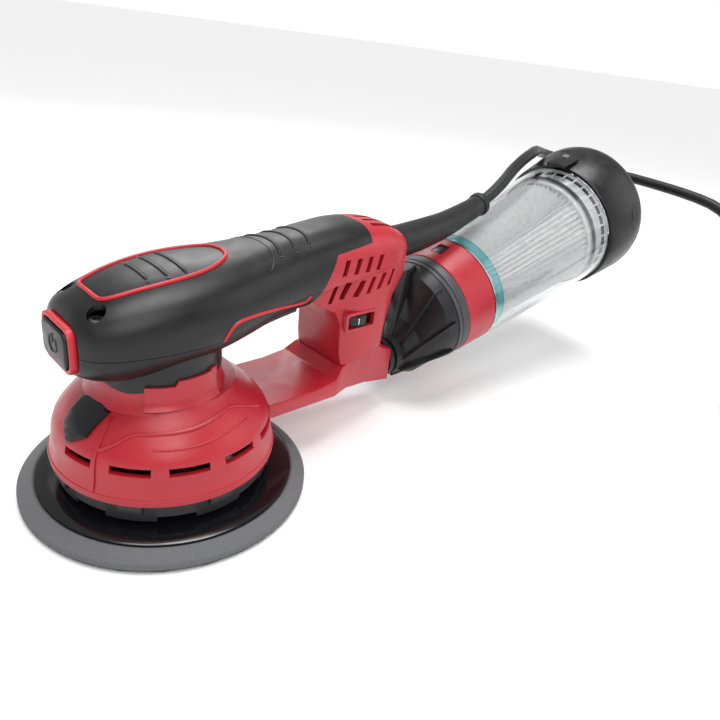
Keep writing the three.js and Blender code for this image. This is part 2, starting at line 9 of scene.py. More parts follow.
import bmesh
import bpy
from mathutils import Matrix, Vector


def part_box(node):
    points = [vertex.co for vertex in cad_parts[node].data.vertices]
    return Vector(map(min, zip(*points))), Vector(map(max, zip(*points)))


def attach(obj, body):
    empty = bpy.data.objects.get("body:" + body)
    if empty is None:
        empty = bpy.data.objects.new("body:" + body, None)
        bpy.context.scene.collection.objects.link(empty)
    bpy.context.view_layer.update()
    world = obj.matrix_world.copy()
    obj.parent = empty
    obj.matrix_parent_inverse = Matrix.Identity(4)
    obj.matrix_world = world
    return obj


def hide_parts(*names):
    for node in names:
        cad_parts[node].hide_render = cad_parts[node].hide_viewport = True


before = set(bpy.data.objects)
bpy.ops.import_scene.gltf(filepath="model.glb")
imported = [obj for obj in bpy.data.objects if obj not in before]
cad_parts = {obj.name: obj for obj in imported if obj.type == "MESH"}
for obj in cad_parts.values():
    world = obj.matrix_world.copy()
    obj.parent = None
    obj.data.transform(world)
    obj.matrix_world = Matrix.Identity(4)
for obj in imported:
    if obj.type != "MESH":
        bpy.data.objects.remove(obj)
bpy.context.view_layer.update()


def middle(node):
    low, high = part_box(node)
    return Vector((a + b) / 2 for a, b in zip(low, high))


def half_width(node):
    low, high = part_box(node)
    return (high[1] - low[1]) / 2


# Driving dimensions
MOTOR_X = middle("motor_shaft").x
ORBIT = middle("pad_foam").x - MOTOR_X  # the pad's axis, from the motor's
PAD_R = half_width("pad_foam")
PLATE_R = half_width("pad_backing_plate")
SHROUD_R = half_width("motor_shroud")
WALL = 0.0026
NECK_X = -0.004
NECK_R = 0.0305
TILT = 0.285  # canister axis, radians above level
CAN_START = (0.2056, 0.0645)  # x, z where the red band begins
BAND_R = (0.0383, 0.0402)
BAND_END = 0.0247
TUBE_END = 0.1542
TUBE_END_R = 0.0497
CAP_END = 0.203
CAP_RIM = 0.0519
CAP_R = 0.0548
FILTER_R = (0.0335, 0.0425)  # front and far end
PORT = (0.160, 0.0335)
PORT_R = 0.0105
NOSE_X = -0.0485
CABLE_R = 0.0043
COIL = (0.410, -0.2165, 0.044)  # x, y and mean radius of the stored coil
TURNS_WIDE = 2
TURNS_HIGH = 6
random.seed(7)


# ---- camera ---------------------------------------------------------------------------------

CAMERA_AIM = Vector((0.1357, -0.0062, 0.040))  # from the motor axis
CAMERA_DISTANCE = 0.4239
CAMERA_AZIMUTH = math.radians(-46.35)
CAMERA_HEIGHT = math.radians(26.416)
CAMERA_ROLL = math.radians(7.738)


def make_camera():
    data = bpy.data.cameras.new("camera")
    data.sensor_width = 36
    data.lens = 32.144
    data.clip_start = 0.01
    back = Vector((
        math.sin(CAMERA_AZIMUTH) * math.cos(CAMERA_HEIGHT),
        -math.cos(CAMERA_AZIMUTH) * math.cos(CAMERA_HEIGHT),
        math.sin(CAMERA_HEIGHT),
    ))
    right = (-back).cross(Vector((0, 0, 1))).normalized()
    up = right.cross(-back)
    turned_right = right * math.cos(CAMERA_ROLL) + up * math.sin(CAMERA_ROLL)
    turned_up = up * math.cos(CAMERA_ROLL) - right * math.sin(CAMERA_ROLL)
    camera = bpy.data.objects.new("camera", data)
    turn = Matrix((turned_right, turned_up, back)).transposed().to_4x4()
    place = CAMERA_AIM + Vector((MOTOR_X, 0, 0)) + back * CAMERA_DISTANCE
    camera.matrix_world = Matrix.Translation(place) @ turn
    bpy.context.scene.collection.objects.link(camera)
    bpy.context.scene.camera = camera


make_camera()


# ---- materials ------------------------------------------------------------------------------


def new_material(name, color, roughness, metallic=0.0, **sockets):
    material = bpy.data.materials.new(name)
    material.use_nodes = True
    shader = material.node_tree.nodes["Principled BSDF"]
    shader.inputs["Base Color"].default_value = (*color, 1)
    shader.inputs["Roughness"].default_value = roughness
    shader.inputs["Metallic"].default_value = metallic
    for socket, value in sockets.items():
        shader.inputs[socket.replace("_", " ")].default_value = value
    return material


def add_noise(material, scale, detail=4.0):
    tree = material.node_tree
    coordinates = tree.nodes.new("ShaderNodeTexCoord")
    noise = tree.nodes.new("ShaderNodeTexNoise")
    noise.inputs["Scale"].default_value = scale
    noise.inputs["Detail"].default_value = detail
    tree.links.new(coordinates.outputs["Object"], noise.inputs["Vector"])
    return noise


def grain(material, scale, depth, strength=0.4, detail=4.0):
    """A fine relief, in metres deep."""
    tree = material.node_tree
    noise = add_noise(material, scale, detail)
    bump = tree.nodes.new("ShaderNodeBump")
    bump.inputs["Strength"].default_value = strength
    bump.inputs["Distance"].default_value = depth
    tree.links.new(noise.outputs["Fac"], bump.inputs["Height"])
    tree.links.new(bump.outputs["Normal"], tree.nodes["Principled BSDF"].inputs["Normal"])


def vary(material, socket, scale, low, high, detail=3.0):
    """The socket drifts between two values over the surface."""
    tree = material.node_tree
    noise = add_noise(material, scale, detail)
    spread = tree.nodes.new("ShaderNodeMapRange")
    spread.inputs["From Min"].default_value = 0.35
    spread.inputs["From Max"].default_value = 0.65
    spread.inputs["To Min"].default_value = low
    spread.inputs["To Max"].default_value = high
    tree.links.new(noise.outputs["Fac"], spread.inputs["Value"])
    tree.links.new(spread.outputs["Result"], tree.nodes["Principled BSDF"].inputs[socket])


def mottle(material, scale, dark, light, detail=5.0):
    """The colour drifts between two near shades."""
    tree = material.node_tree
    noise = add_noise(material, scale, detail)
    ramp = tree.nodes.new("ShaderNodeValToRGB")
    ramp.color_ramp.elements[0].position = 0.35
    ramp.color_ramp.elements[0].color = (*dark, 1)
    ramp.color_ramp.elements[1].position = 0.65
    ramp.color_ramp.elements[1].color = (*light, 1)
    tree.links.new(noise.outputs["Fac"], ramp.inputs["Fac"])
    tree.links.new(ramp.outputs["Color"], tree.nodes["Principled BSDF"].inputs["Base Color"])


def red_plastic():
    material = new_material("red_plastic", (0.42, 0.008, 0.018), 0.36, Coat_Weight=0.08, Coat_Roughness=0.2)
    mottle(material, 30, (0.38, 0.009, 0.020), (0.42, 0.011, 0.024))
    vary(material, "Roughness", 120, 0.32, 0.42)
    grain(material, 2600, 0.00004)
    return material


def trim_red():
    material = new_material("trim_red", (0.50, 0.008, 0.018), 0.4)
    grain(material, 1500, 0.00003)
    return material


def soft_black():
    material = new_material("soft_black", (0.006, 0.006, 0.007), 0.38, Specular_IOR_Level=0.38)
    mottle(material, 40, (0.005, 0.005, 0.006), (0.008, 0.008, 0.009))
    vary(material, "Roughness", 90, 0.32, 0.42)
    grain(material, 3200, 0.00005, 0.5)
    return material


def gloss_black():
    material = new_material("gloss_black", (0.006, 0.006, 0.007), 0.12)
    vary(material, "Roughness", 60, 0.08, 0.18)
    return material


def satin_black():
    material = new_material("satin_black", (0.007, 0.007, 0.008), 0.32, Specular_IOR_Level=0.4)
    vary(material, "Roughness", 150, 0.28, 0.42)
    grain(material, 2200, 0.00005)
    return material


def adapter_black():
    material = new_material("adapter_black", (0.012, 0.012, 0.014), 0.42, Specular_IOR_Level=0.35)
    mottle(material, 60, (0.010, 0.010, 0.011), (0.016, 0.016, 0.018))
    grain(material, 1800, 0.00006, 0.5)
    return material


def foam_grey():
    material = new_material("foam_grey", (0.12, 0.12, 0.13), 0.9)
    mottle(material, 1500, (0.105, 0.106, 0.113), (0.130, 0.132, 0.140), 6)
    grain(material, 1800, 0.00012, 0.5, 6)
    return material


def hook_black():
    material = new_material("hook_black", (0.03, 0.03, 0.033), 1.0, Sheen_Weight=0.4, Sheen_Roughness=0.6)
    mottle(material, 1800, (0.012, 0.012, 0.014), (0.06, 0.06, 0.065))
    grain(material, 2600, 0.0004, 0.9)
    return material


def dark_rubber():
    material = new_material("dark_rubber", (0.008, 0.008, 0.009), 0.45, Specular_IOR_Level=0.4)
    vary(material, "Roughness", 140, 0.38, 0.52)
    grain(material, 2400, 0.00006, 0.5)
    return material


def skirt_grey():
    material = new_material("skirt_grey", (0.018, 0.018, 0.020), 0.45)
    grain(material, 1600, 0.00006)
    return material


def ring_grey():
    material = new_material("ring_grey", (0.045, 0.045, 0.050), 0.45)
    grain(material, 1600, 0.00004)
    return material


def clear_plastic():
    return new_material(
        "clear_plastic", (0.93, 0.95, 0.955), 0.02, Transmission_Weight=1.0, IOR=1.45, Specular_IOR_Level=0.6)


def tinted_clear():
    return new_material(
        "tinted_clear", (0.35, 0.80, 0.86), 0.05, Transmission_Weight=0.9, IOR=1.2, Specular_IOR_Level=0.4)


def filter_paper():
    material = new_material("filter_paper", (0.86, 0.86, 0.85), 0.85)
    mottle(material, 300, (0.80, 0.80, 0.79), (0.90, 0.90, 0.89))
    grain(material, 1600, 0.0001, 0.5)
    return material


def white_plastic():
    material = new_material("white_plastic", (0.82, 0.82, 0.82), 0.4)
    grain(material, 1200, 0.00004)
    return material


def steel():
    material = new_material("steel", (0.62, 0.62, 0.64), 0.25, 1.0)
    vary(material, "Roughness", 400, 0.18, 0.34)
    return material


def dark_steel():
    material = new_material("dark_steel", (0.10, 0.10, 0.105), 0.38, 1.0)
    mottle(material, 300, (0.085, 0.085, 0.090), (0.120, 0.120, 0.126))
    return material


def copper():
    return new_material("copper", (0.60, 0.28, 0.14), 0.35, 1.0)


def aluminium():
    material = new_material("aluminium", (0.70, 0.71, 0.73), 0.4, 1.0)
    grain(material, 900, 0.00006)
    return material


def board_green():
    return new_material("board_green", (0.03, 0.16, 0.08), 0.4)


def white_ink():
    return new_material("white_ink", (0.85, 0.85, 0.85), 0.5)


# Near-black, painted shade for the grooves and pits on the head's top; no recess is cut there.
def painted_groove_shade():
    return new_material("painted_groove_shade", (0.02, 0.02, 0.022), 0.5)


RED = red_plastic()
TRIM = trim_red()
SOFT = soft_black()
GLOSS = gloss_black()
SATIN = satin_black()
ADAPTER = adapter_black()
FOAM = foam_grey()
HOOK = hook_black()
RUBBER = dark_rubber()
SKIRT = skirt_grey()
GREY_RING = ring_grey()
CLEAR = clear_plastic()
TINTED = tinted_clear()
PAPER = filter_paper()
WHITE = white_plastic()
STEEL = steel()
DARK_STEEL = dark_steel()
COPPER = copper()
ALUMINIUM = aluminium()
BOARD = board_green()
INK = white_ink()
# painted shade for the head-top grooves and pits
PAINTED_GROOVE_SHADE = painted_groove_shade()


# ---- mesh code ------------------------------------------------------------------------------


def raw_mesh(name, points, faces):
    """A mesh from points measured from the motor axis, its faces turned outward."""
    mesh = bpy.data.meshes.new(name)
    mesh.from_pydata([(x + MOTOR_X, y, z) for x, y, z in points], [], faces)
    work = bmesh.new()
    work.from_mesh(mesh)
    bmesh.ops.remove_doubles(work, verts=work.verts, dist=1e-7)
    bmesh.ops.recalc_face_normals(work, faces=work.faces)
    work.to_mesh(mesh)
    work.free()
    obj = bpy.data.objects.new(name, mesh)
    bpy.context.scene.collection.objects.link(obj)
    return obj


def rings_mesh(name, rings, closed=False, capped=True):
    """A skin through rings of equal point counts."""
    count = len(rings[0])
    points = [point for ring in rings for point in ring]
    faces = []
    steps = len(rings) if closed else len(rings) - 1
    for i in range(steps):
        for j in range(count):
            a = i * count + j
            b = i * count + (j + 1) % count
            c = ((i + 1) % len(rings)) * count + (j + 1) % count
            d = ((i + 1) % len(rings)) * count + j
            faces.append((a, b, c, d))
    if capped and not closed:
        faces.append(tuple(range(count)))
        faces.append(tuple((len(rings) - 1) * count + j for j in range(count)))
    return raw_mesh(name, points, faces)


def upright(x, y, z):
    return (x, y, z)


def on_pad(x, y, z):
    return (x + ORBIT, y, z)


def on_canister(x, y, s):
    """The canister's own frame: s runs along its axis and -x is up."""
    return (
        CAN_START[0] + s * math.cos(TILT) + x * math.sin(TILT),
        y,
        CAN_START[1] + s * math.sin(TILT) - x * math.cos(TILT),
    )


def lathe(name, profile, place=upright, segments=128, centre=(0, 0)):
    """A closed (radius, height) outline turned about the local Z axis."""
    rings = []
    for r, h in profile:
        ring = []
        for j in range(segments):
            angle = 2 * math.pi * j / segments
            ring.append(place(centre[0] + r * math.cos(angle), centre[1] + r * math.sin(angle), h))
        rings.append(ring)
    return rings_mesh(name, rings, closed=True)


def slab(name, outline, low, high, axes):
    """A flat outline made thick along the third axis; axes puts (a, b, depth) into x, y, z order."""
    count = len(outline)
    points = [axes(a, b, low) for a, b in outline] + [axes(a, b, high) for a, b in outline]
    faces = [tuple(range(count)), tuple(range(count, 2 * count))]
    for j in range(count):
        k = (j + 1) % count
        faces.append((j, k, k + count, j + count))
    return raw_mesh(name, points, faces)


def along_y(a, b, depth):
    return (a, depth, b)


def along_x(a, b, depth):
    return (depth, a, b)


def along_z(a, b, depth):
    return (a, b, depth)


def block(name, low, high, place=upright):
    (x0, y0, z0), (x1, y1, z1) = low, high
    corners = [(x, y, z) for z in (z0, z1) for x, y in ((x0, y0), (x1, y0), (x1, y1), (x0, y1))]
    faces = [(0, 3, 2, 1), (4, 5, 6, 7), (0, 1, 5, 4), (1, 2, 6, 5), (2, 3, 7, 6), (3, 0, 4, 7)]
    return raw_mesh(name, [place(*corner) for corner in corners], faces)


def turned(angle, centre=(0, 0)):
    """A place function that turns a local point about a vertical axis."""

    def place(x, y, z):
        c = math.cos(angle)
        s = math.sin(angle)
        return (centre[0] + x * c - y * s, centre[1] + x * s + y * c, z)

    return place


def apply_changes(obj):
    graph = bpy.context.evaluated_depsgraph_get()
    mesh = bpy.data.meshes.new_from_object(obj.evaluated_get(graph))
    obj.modifiers.clear()
    obj.data = mesh


def carve(obj, tools, operation="DIFFERENCE"):
    """A boolean with each tool in turn; the tools are used up."""
    for tool in tools:
        change = obj.modifiers.new("carve", "BOOLEAN")
        change.operation = operation
        change.solver = "EXACT"
        change.object = tool
    apply_changes(obj)
    for tool in tools:
        bpy.data.objects.remove(tool)
    return obj


def soften(obj, width, segments=2, angle=35):
    bevel = obj.modifiers.new("soften", "BEVEL")
    bevel.width = width
    bevel.segments = segments
    bevel.limit_method = "ANGLE"
    bevel.angle_limit = math.radians(angle)
    apply_changes(obj)
    return obj


def finish(obj, material, body="housing", nodes=(), sharp=38):
    obj.data.materials.clear()
    obj.data.materials.append(material)
    for face in obj.data.polygons:
        face.use_smooth = True
        face.material_index = 0
    obj.data.set_sharp_from_angle(angle=math.radians(sharp))
    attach(obj, body)
    if nodes:
        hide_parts(*nodes)
    return obj


def spline(values, steps):
    """A smooth run of tuples through the given ones."""
    smooth = []
    last = len(values) - 1
    for i in range(last):
        before = values[max(i - 1, 0)]
        start = values[i]
        end = values[i + 1]
        after = values[min(i + 2, last)]
        for k in range(steps):
            t = k / steps
            smooth.append(tuple(
                0.5 * (2 * b + (c - a) * t + (2 * a - 5 * b + 4 * c - d) * t * t
                       + (3 * b - a - 3 * c + d) * t ** 3)
                for a, b, c, d in zip(before, start, end, after)
            ))
    smooth.append(values[last])
    return smooth


def sweep(name, path, radius, sides=12, closed=False):
    """A round tube along points; radius is one number or one per point."""
    points = [Vector(point) for point in path]
    count = len(points)
    rings = []
    side = None
    for i, point in enumerate(points):
        ahead = points[(i + 1) % count] if closed else points[min(i + 1, count - 1)]
        behind = points[i - 1] if closed else points[max(i - 1, 0)]
        tangent = (ahead - behind).normalized()
        if side is None:
            side = tangent.orthogonal().normalized()
        side = (side - tangent * side.dot(tangent)).normalized()
        other = tangent.cross(side)
        r = radius if isinstance(radius, float) else radius[i]
        rings.append([
            tuple(point + r * (side * math.cos(a) + other * math.sin(a)))
            for a in (2 * math.pi * j / sides for j in range(sides))
        ])
    return rings_mesh(name, rings, closed=closed)


# ---- mains cable ----------------------------------------------------------------------------

# From the sleeve's end down to the coil, measured from the motor axis
ROUTE = [
    (0.2495, 0.0043, 0.1340), (0.262, 0.0048, 0.140), (0.276, 0.007, 0.147), (0.291, 0.011, 0.154),
    (0.310, 0.0165, 0.1595), (0.330, 0.0235, 0.162), (0.350, 0.033, 0.162), (0.370, 0.0435, 0.1605),
    (0.388, 0.052, 0.158), (0.406, 0.057, 0.155), (0.424, 0.0575, 0.152), (0.441, 0.051, 0.1498),
    (0.455, 0.036, 0.1468), (0.462, 0.016, 0.1448), (0.465, -0.006, 0.144), (0.466, -0.030, 0.143),
    (0.466, -0.054, 0.1415), (0.4655, -0.078, 0.1384), (0.465, -0.095, 0.1316), (0.4645, -0.110, 0.1204),
    (0.464, -0.121, 0.1058), (0.4635, -0.128, 0.0887), (0.463, -0.1305, 0.0727), (0.463, -0.133, 0.0568),
    (0.463, -0.140, 0.0398), (0.463, -0.151, 0.0251), (0.463, -0.166, 0.0139), (0.463, -0.183, 0.0069),
]
POINTS_A_TURN = 24
LEAD_IN = math.radians(45)  # of arc, from the route's end onto the first turn
RISE_START = 260  # degrees of the last turn where the cable starts to climb to the plug
PLUG_SIDE = 0.038  # the plug's centre line, from the coil's centre
PLUG_ENTRY = 0.0641  # height of the cable's way into the plug


def ease(t):
    t = min(max(t, 0.0), 1.0)
    return t * t * (3 - 2 * t)


def coil_points():
    """The stored turns, wound clockwise, layer on layer, and the climb to the plug on top."""
    centre_x, centre_y, mean_r = COIL
    pitch = 2 * CABLE_R
    floor = CABLE_R * 1.01
    arrival = Vector((ROUTE[-1][0] - centre_x, ROUTE[-1][1] - centre_y))
    start = math.atan2(arrival.y, arrival.x) - LEAD_IN
    radii = [mean_r + pitch * (TURNS_WIDE - 1) / 2 - pitch * i for i in range(TURNS_WIDE)]
    points = []

    def add(angle, radius, height):
        points.append((centre_x + radius * math.cos(angle), centre_y + radius * math.sin(angle), height))

    for k in range(1, 5):
        t = ease(k / 5)
        add(start + LEAD_IN * (1 - k / 5), arrival.length + (radii[0] - arrival.length) * t,
            ROUTE[-1][2] + (floor - ROUTE[-1][2]) * t)
    tracks = []
    for layer in range(TURNS_HIGH):
        order = radii if layer % 2 == 0 else radii[::-1]
        tracks += [(r, layer) for r in order]
    tracks.append(tracks[-1])
    for turn, ((r, layer), (next_r, next_layer)) in enumerate(zip(tracks, tracks[1:])):
        last = turn == len(tracks) - 2
        for k in range(POINTS_A_TURN):
            t = k / POINTS_A_TURN
            if last and 360 * t >= RISE_START:
                break
            radius = r + (next_r - r) * ease((t - 0.5) / 0.25)
            height = floor + pitch * (layer + (next_layer - layer) * ease((t - 0.75) / 0.25))
            add(start - 2 * math.pi * t, radius, height)
    top = floor + pitch * (TURNS_HIGH - 1)
    end = math.radians(-90) - 2 * math.pi
    begin = start - math.radians(RISE_START)
    steps = 16
    for k in range(steps + 1):
        t = k / steps
        add(begin + (end - begin) * t, radii[0] + (PLUG_SIDE - radii[0]) * ease((t - 0.34) / 0.66),
            top + (PLUG_ENTRY - top) * ease(t / 0.68))
    return points


def make_cable():
    path = [Vector(p) for p in spline(ROUTE, 2) + coil_points()]
    length = sum((b - a).length for a, b in zip(path, path[1:]))
    data = bpy.data.curves.new("mains_cable_run", "CURVE")
    data.dimensions = "3D"
    data.bevel_depth = CABLE_R
    data.bevel_resolution = 4
    run = data.splines.new("POLY")
    run.points.add(len(path) - 1)
    for point, place in zip(run.points, path):
        point.co = (place.x + MOTOR_X, place.y, place.z, 1)
    run.use_smooth = True
    cable = bpy.data.objects.new("mains_cable_run", data)
    bpy.context.scene.collection.objects.link(cable)
    data.use_fill_caps = True
    data.materials.append(RUBBER)
    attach(cable, "housing")
    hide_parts("mains_cable", "mains_cable_coil")


make_cable()


# ---- sanding pad ----------------------------------------------------------------------------

HOOK_TUFTS = 900


def pad_pieces():
    edge = PAD_R
    foam = lathe("foam_pad", [
        (0.008, 0.0018), (edge - 0.0004, 0.0018), (edge, 0.0023), (edge, 0.0050), (edge - 0.0006, 0.0058),
        (PLATE_R + 0.0018, 0.0090), (PLATE_R + 0.0010, 0.0091), (PLATE_R + 0.0004, 0.0086),
        (PLATE_R + 0.0004, 0.0080), (0.008, 0.0080),
    ], on_pad, 192)
    finish(foam, FOAM, "pad", ["pad_foam"])
    plate = lathe("glossy_pad_plate", [
        (0.0036, 0.0083), (PLATE_R - 0.0003, 0.0083), (PLATE_R, 0.0088), (PLATE_R - 0.0002, 0.0096),
        (PLATE_R - 0.0010, 0.0100), (0.060, 0.0103), (0.052, 0.0107), (0.046, 0.0112), (0.041, 0.0121),
        (0.038, 0.0126), (0.0036, 0.0126),
    ], on_pad, 192)
    finish(plate, GLOSS, "pad", ["pad_backing_plate"])
    tufts()


def tufts():
    """The ragged hook edge under the foam."""
    points = []
    faces = []
    for i in range(HOOK_TUFTS):
        angle = 2 * math.pi * (i + random.uniform(-0.3, 0.3)) / HOOK_TUFTS
        reach = PAD_R - 0.0013 + random.uniform(0.0004, 0.0012)
        half = math.pi / HOOK_TUFTS * 0.8
        low = random.uniform(0.0001, 0.0005)
        inner = PAD_R - 0.0026
        base = len(points)
        points.append(on_pad(inner * math.cos(angle - half), inner * math.sin(angle - half), 0.0002))
        points.append(on_pad(inner * math.cos(angle + half), inner * math.sin(angle + half), 0.0002))
        points.append(on_pad(inner * math.cos(angle), inner * math.sin(angle), 0.0016))
        points.append(on_pad(reach * math.cos(angle), reach * math.sin(angle), low + 0.0004))
        faces += [(base, base + 2, base + 1), (base, base + 1, base + 3), (base + 1, base + 2, base + 3),
                  (base + 2, base, base + 3)]
    fringe = raw_mesh("hook_fringe", points, faces)
    finish(fringe, HOOK, "pad", ())


pad_pieces()


# ---- shroud ---------------------------------------------------------------------------------

SHROUD_OUTSIDE = [
    (SHROUD_R, 0.0244), (SHROUD_R, 0.0272), (0.0564, 0.0300), (0.0557, 0.0325), (0.0553, 0.0360),
    (0.0551, 0.0392), (0.0545, 0.0420), (0.0536, 0.0450), (0.0525, 0.0470), (0.0510, 0.0490),
    (0.0494, 0.0512), (0.0475, 0.0535), (0.0451, 0.0558), (0.0425, 0.0580), (0.0402, 0.0597),
    (0.0380, 0.0614), (0.0366, 0.0626), (0.0355, 0.0640),
]
SLOT_START = math.radians(-163)
SLOT_PITCH = math.radians(28.5)
SLOTS = 10


def shroud_radius(z, rise=0.0):
    """The outer skin's radius at a height."""
    for (r0, z0), (r1, z1) in zip(SHROUD_OUTSIDE, SHROUD_OUTSIDE[1:]):
        if z0 <= z <= z1 and z1 > z0:
            return r0 + (r1 - r0) * (z - z0) / (z1 - z0) + rise
    return SHROUD_OUTSIDE[-1][0] + rise


def shroud_band(name, low, high, azimuths, rise, depth=0.0016, steps=10):
    """A patch that follows the shroud; low and high give its edges at each azimuth, in radians."""
    count = len(azimuths)
    outer = []
    inner = []
    for angle, z0, z1 in zip(azimuths, low, high):
        for k in range(steps + 1):
            z = z0 + (z1 - z0) * k / steps
            for rows, r in ((outer, shroud_radius(z, rise)), (inner, shroud_radius(z, rise - depth))):
                rows.append((r * math.cos(angle), r * math.sin(angle), z))
    width = steps + 1
    total = len(outer)
    faces = []
    for i in range(count - 1):
        for k in range(steps):
            a = i * width + k
            faces.append((a, a + 1, a + 1 + width, a + width))
            faces.append((total + a, total + a + width, total + a + 1 + width, total + a + 1))
    for i in range(count - 1):
        for k in (0, steps):
            a = i * width + k
            faces.append((a, a + width, total + a + width, total + a))
    for i in (0, count - 1):
        for k in range(steps):
            a = i * width + k
            faces.append((a, a + 1, total + a + 1, total + a))
    return raw_mesh(name, outer + inner, faces)


def shroud_pieces():
    inside = [(0.0329, 0.0610), (0.0399, 0.0570), (0.0484, 0.0480), (0.0524, 0.0390), (0.0529, 0.0330),
              (SHROUD_R - WALL, 0.0244)]
    top = [(0.0285, 0.0640), (0.0285, 0.0610)]
    skin = lathe("shroud_skin", SHROUD_OUTSIDE + top + inside, upright, 160)
    neck = lathe("neck", [
        (NECK_R - 0.0018, 0.0615), (NECK_R + 0.0048, 0.0615), (NECK_R + 0.0030, 0.0640), (NECK_R + 0.0018, 0.0665),
        (NECK_R + 0.0011, 0.0690), (NECK_R + 0.0010, 0.0740), (NECK_R - 0.0018, 0.0740),
    ], upright, 160, (NECK_X, 0))
    carve(skin, [neck], "UNION")
    tools = []
    for i in range(SLOTS):
        angle = SLOT_START + SLOT_PITCH * i
        tools.append(block("slot", (0.046, -0.0095, 0.0395), (0.062, 0.0095, 0.0435), turned(angle)))
    tools.append(block("dust_way", (0.040, -0.010, 0.0346), (0.062, 0.010, 0.0384)))
    carve(skin, tools)
    finish(skin, RED, "housing", ["motor_shroud"], 30)
    rim = lathe("shroud_rim_line", [
        (SHROUD_R - 0.0004, 0.0268), (SHROUD_R + 0.0003, 0.0272), (SHROUD_R + 0.0001, 0.0280),
        (SHROUD_R - 0.0012, 0.0282),
    ], upright, 160)
    finish(rim, RED, "housing", ())
    rib = shroud_band("shroud_rib", [0.0285] * 3, [0.0600] * 3,
                      [math.radians(a) for a in (-154.2, -153, -151.8)], 0.0008)
    finish(rib, RED, "housing", ())
    cheek()


def cheek():
    """The raised borders over the air slots."""
    upper = [(-152, 0.0480), (-146, 0.0508), (-136, 0.0555), (-124, 0.0562), (-111, 0.0565), (-101, 0.0569),
             (-91, 0.0577), (-80, 0.0588), (-68, 0.0590), (-57, 0.0562), (-46, 0.0523)]
    lower = [(-124, 0.0509), (-112, 0.0508), (-100, 0.0511), (-90, 0.0517), (-78, 0.0525), (-63, 0.0525)]
    for name, corners, radius in (("cheek_border", upper, 0.0011), ("cheek_step", lower, 0.0007)):
        path = []
        for degrees, z in spline(corners, 5):
            angle = math.radians(degrees)
            r = shroud_radius(z, -0.0002)
            path.append((r * math.cos(angle), r * math.sin(angle), z))
        border = sweep(name, path, radius, 8)
        finish(border, RED, "housing", ())


shroud_pieces()


def badge():
    outline = [(-0.011, 0.0055), (0, 0.0085), (0.011, 0.0055), (0.0095, -0.004), (0, -0.0095), (-0.0095, -0.004)]
    smooth = outline
    stamp = slab("badge", [(y, 0.0555 + s) for y, s in smooth], 0, 0.070, along_x)
    turn = turned(math.radians(-172))
    for vertex in stamp.data.vertices:
        x, y, z = vertex.co
        moved = turn(x - MOTOR_X, y, z)
        vertex.co = (moved[0] + MOTOR_X, moved[1], moved[2])
    raised = [(r + 0.0012, z + 0.0006) for r, z in SHROUD_OUTSIDE]
    cover = rings_mesh("cover", [
        [(r * math.cos(a), r * math.sin(a), z) for a in (2 * math.pi * j / 96 for j in range(96))]
        for r, z in raised])
    core = rings_mesh("core", [
        [((r + 0.0003) * math.cos(a), (r + 0.0003) * math.sin(a), z + 0.0003)
         for a in (2 * math.pi * j / 96 for j in range(96))] for r, z in SHROUD_OUTSIDE])
    carve(stamp, [cover], "INTERSECT")
    carve(stamp, [core])
    soften(stamp, 0.0004)
    finish(stamp, GLOSS, "housing", ["shroud_badge"])


badge()


def label_and_boot():
    azimuths = [math.radians(a) for a in range(-127, -58, 3)]
    points = []
    rows = []
    for angle in azimuths:
        degrees = math.degrees(angle)
        top = 0.0752 if degrees < -100 else 0.0778
        if degrees > -68:
            top = 0.0790
        rows.append((angle, 0.0640, top))
    steps = 8
    for r in (NECK_R + 0.0014, NECK_R + 0.0029):
        for angle, z0, z1 in rows:
            for k in range(steps + 1):
                z = z0 + (z1 - z0) * k / steps
                flare = 0.0042 * max(0.0, 1 - (z - 0.0625) / 0.0065) ** 2
                points.append((NECK_X + (r + flare) * math.cos(angle), (r + flare) * math.sin(angle), z))
    width = steps + 1
    half = len(rows) * width
    faces = []
    for i in range(len(rows) - 1):
        for k in range(steps):
            a = i * width + k
            faces.append((a, a + width, a + width + 1, a + 1))
            faces.append((half + a, half + a + 1, half + a + width + 1, half + a + width))
        for k in (0, steps):
            a = i * width + k
            faces.append((a, a + width, half + a + width, half + a))
    for i in (0, len(rows) - 1):
        for k in range(steps):
            a = i * width + k
            faces.append((a, a + 1, half + a + 1, half + a))
    plate = raw_mesh("neck_plate", points, faces)
    finish(plate, RED, "housing", ["neck_label_plate"])
    boot = []
    for z in (0.0743, 0.0747, 0.0770, 0.0810, 0.0900):
        ring = []
        for j in range(128):
            angle = 2 * math.pi * j / 128
            dip = 0.0035 * max(0.0, math.cos(angle - math.radians(-143))) ** 12
            height = z if z > 0.0747 else z - dip
            swell = 0.0014 if z < 0.0815 else 0.0008
            ring.append((NECK_X + (NECK_R + swell) * math.cos(angle), (NECK_R + swell) * math.sin(angle), height))
        boot.append(ring)
    inner = [[(NECK_X + (x - NECK_X) * 0.955, y * 0.955, z) for x, y, z in ring] for ring in reversed(boot)]
    sleeve = rings_mesh("boot_cuff", boot + inner, closed=True)
    finish(sleeve, SATIN, "housing", ["neck_boot"])


label_and_boot()


def skirt():
    profile = [(0.050, 0.0135), (0.054, 0.0135), (0.0545, 0.0150), (0.0541, 0.0235), (0.0535, 0.0241),
               (0.050, 0.0241)]
    ring = lathe("skirt_ring", profile, upright, 128)
    tools = []
    for i in range(8):
        angle = 2 * math.pi * (i + 0.5) / 8
        tools.append(block("notch", (0.048, -0.009, 0.013), (0.056, 0.009, 0.0165), turned(angle)))
    carve(ring, tools)
    finish(ring, SKIRT, "housing", ["dust_skirt"])
    for i in range(8):
        angle = 2 * math.pi * i / 8
        lug = block(f"skirt_lug_{i}", (0.0535, -0.006, 0.0185), (0.0560, 0.006, 0.0240), turned(angle))
        soften(lug, 0.0006)
        finish(lug, SKIRT, "housing", ())


skirt()


# ---- head and rear skin ---------------------------------------------------------------------

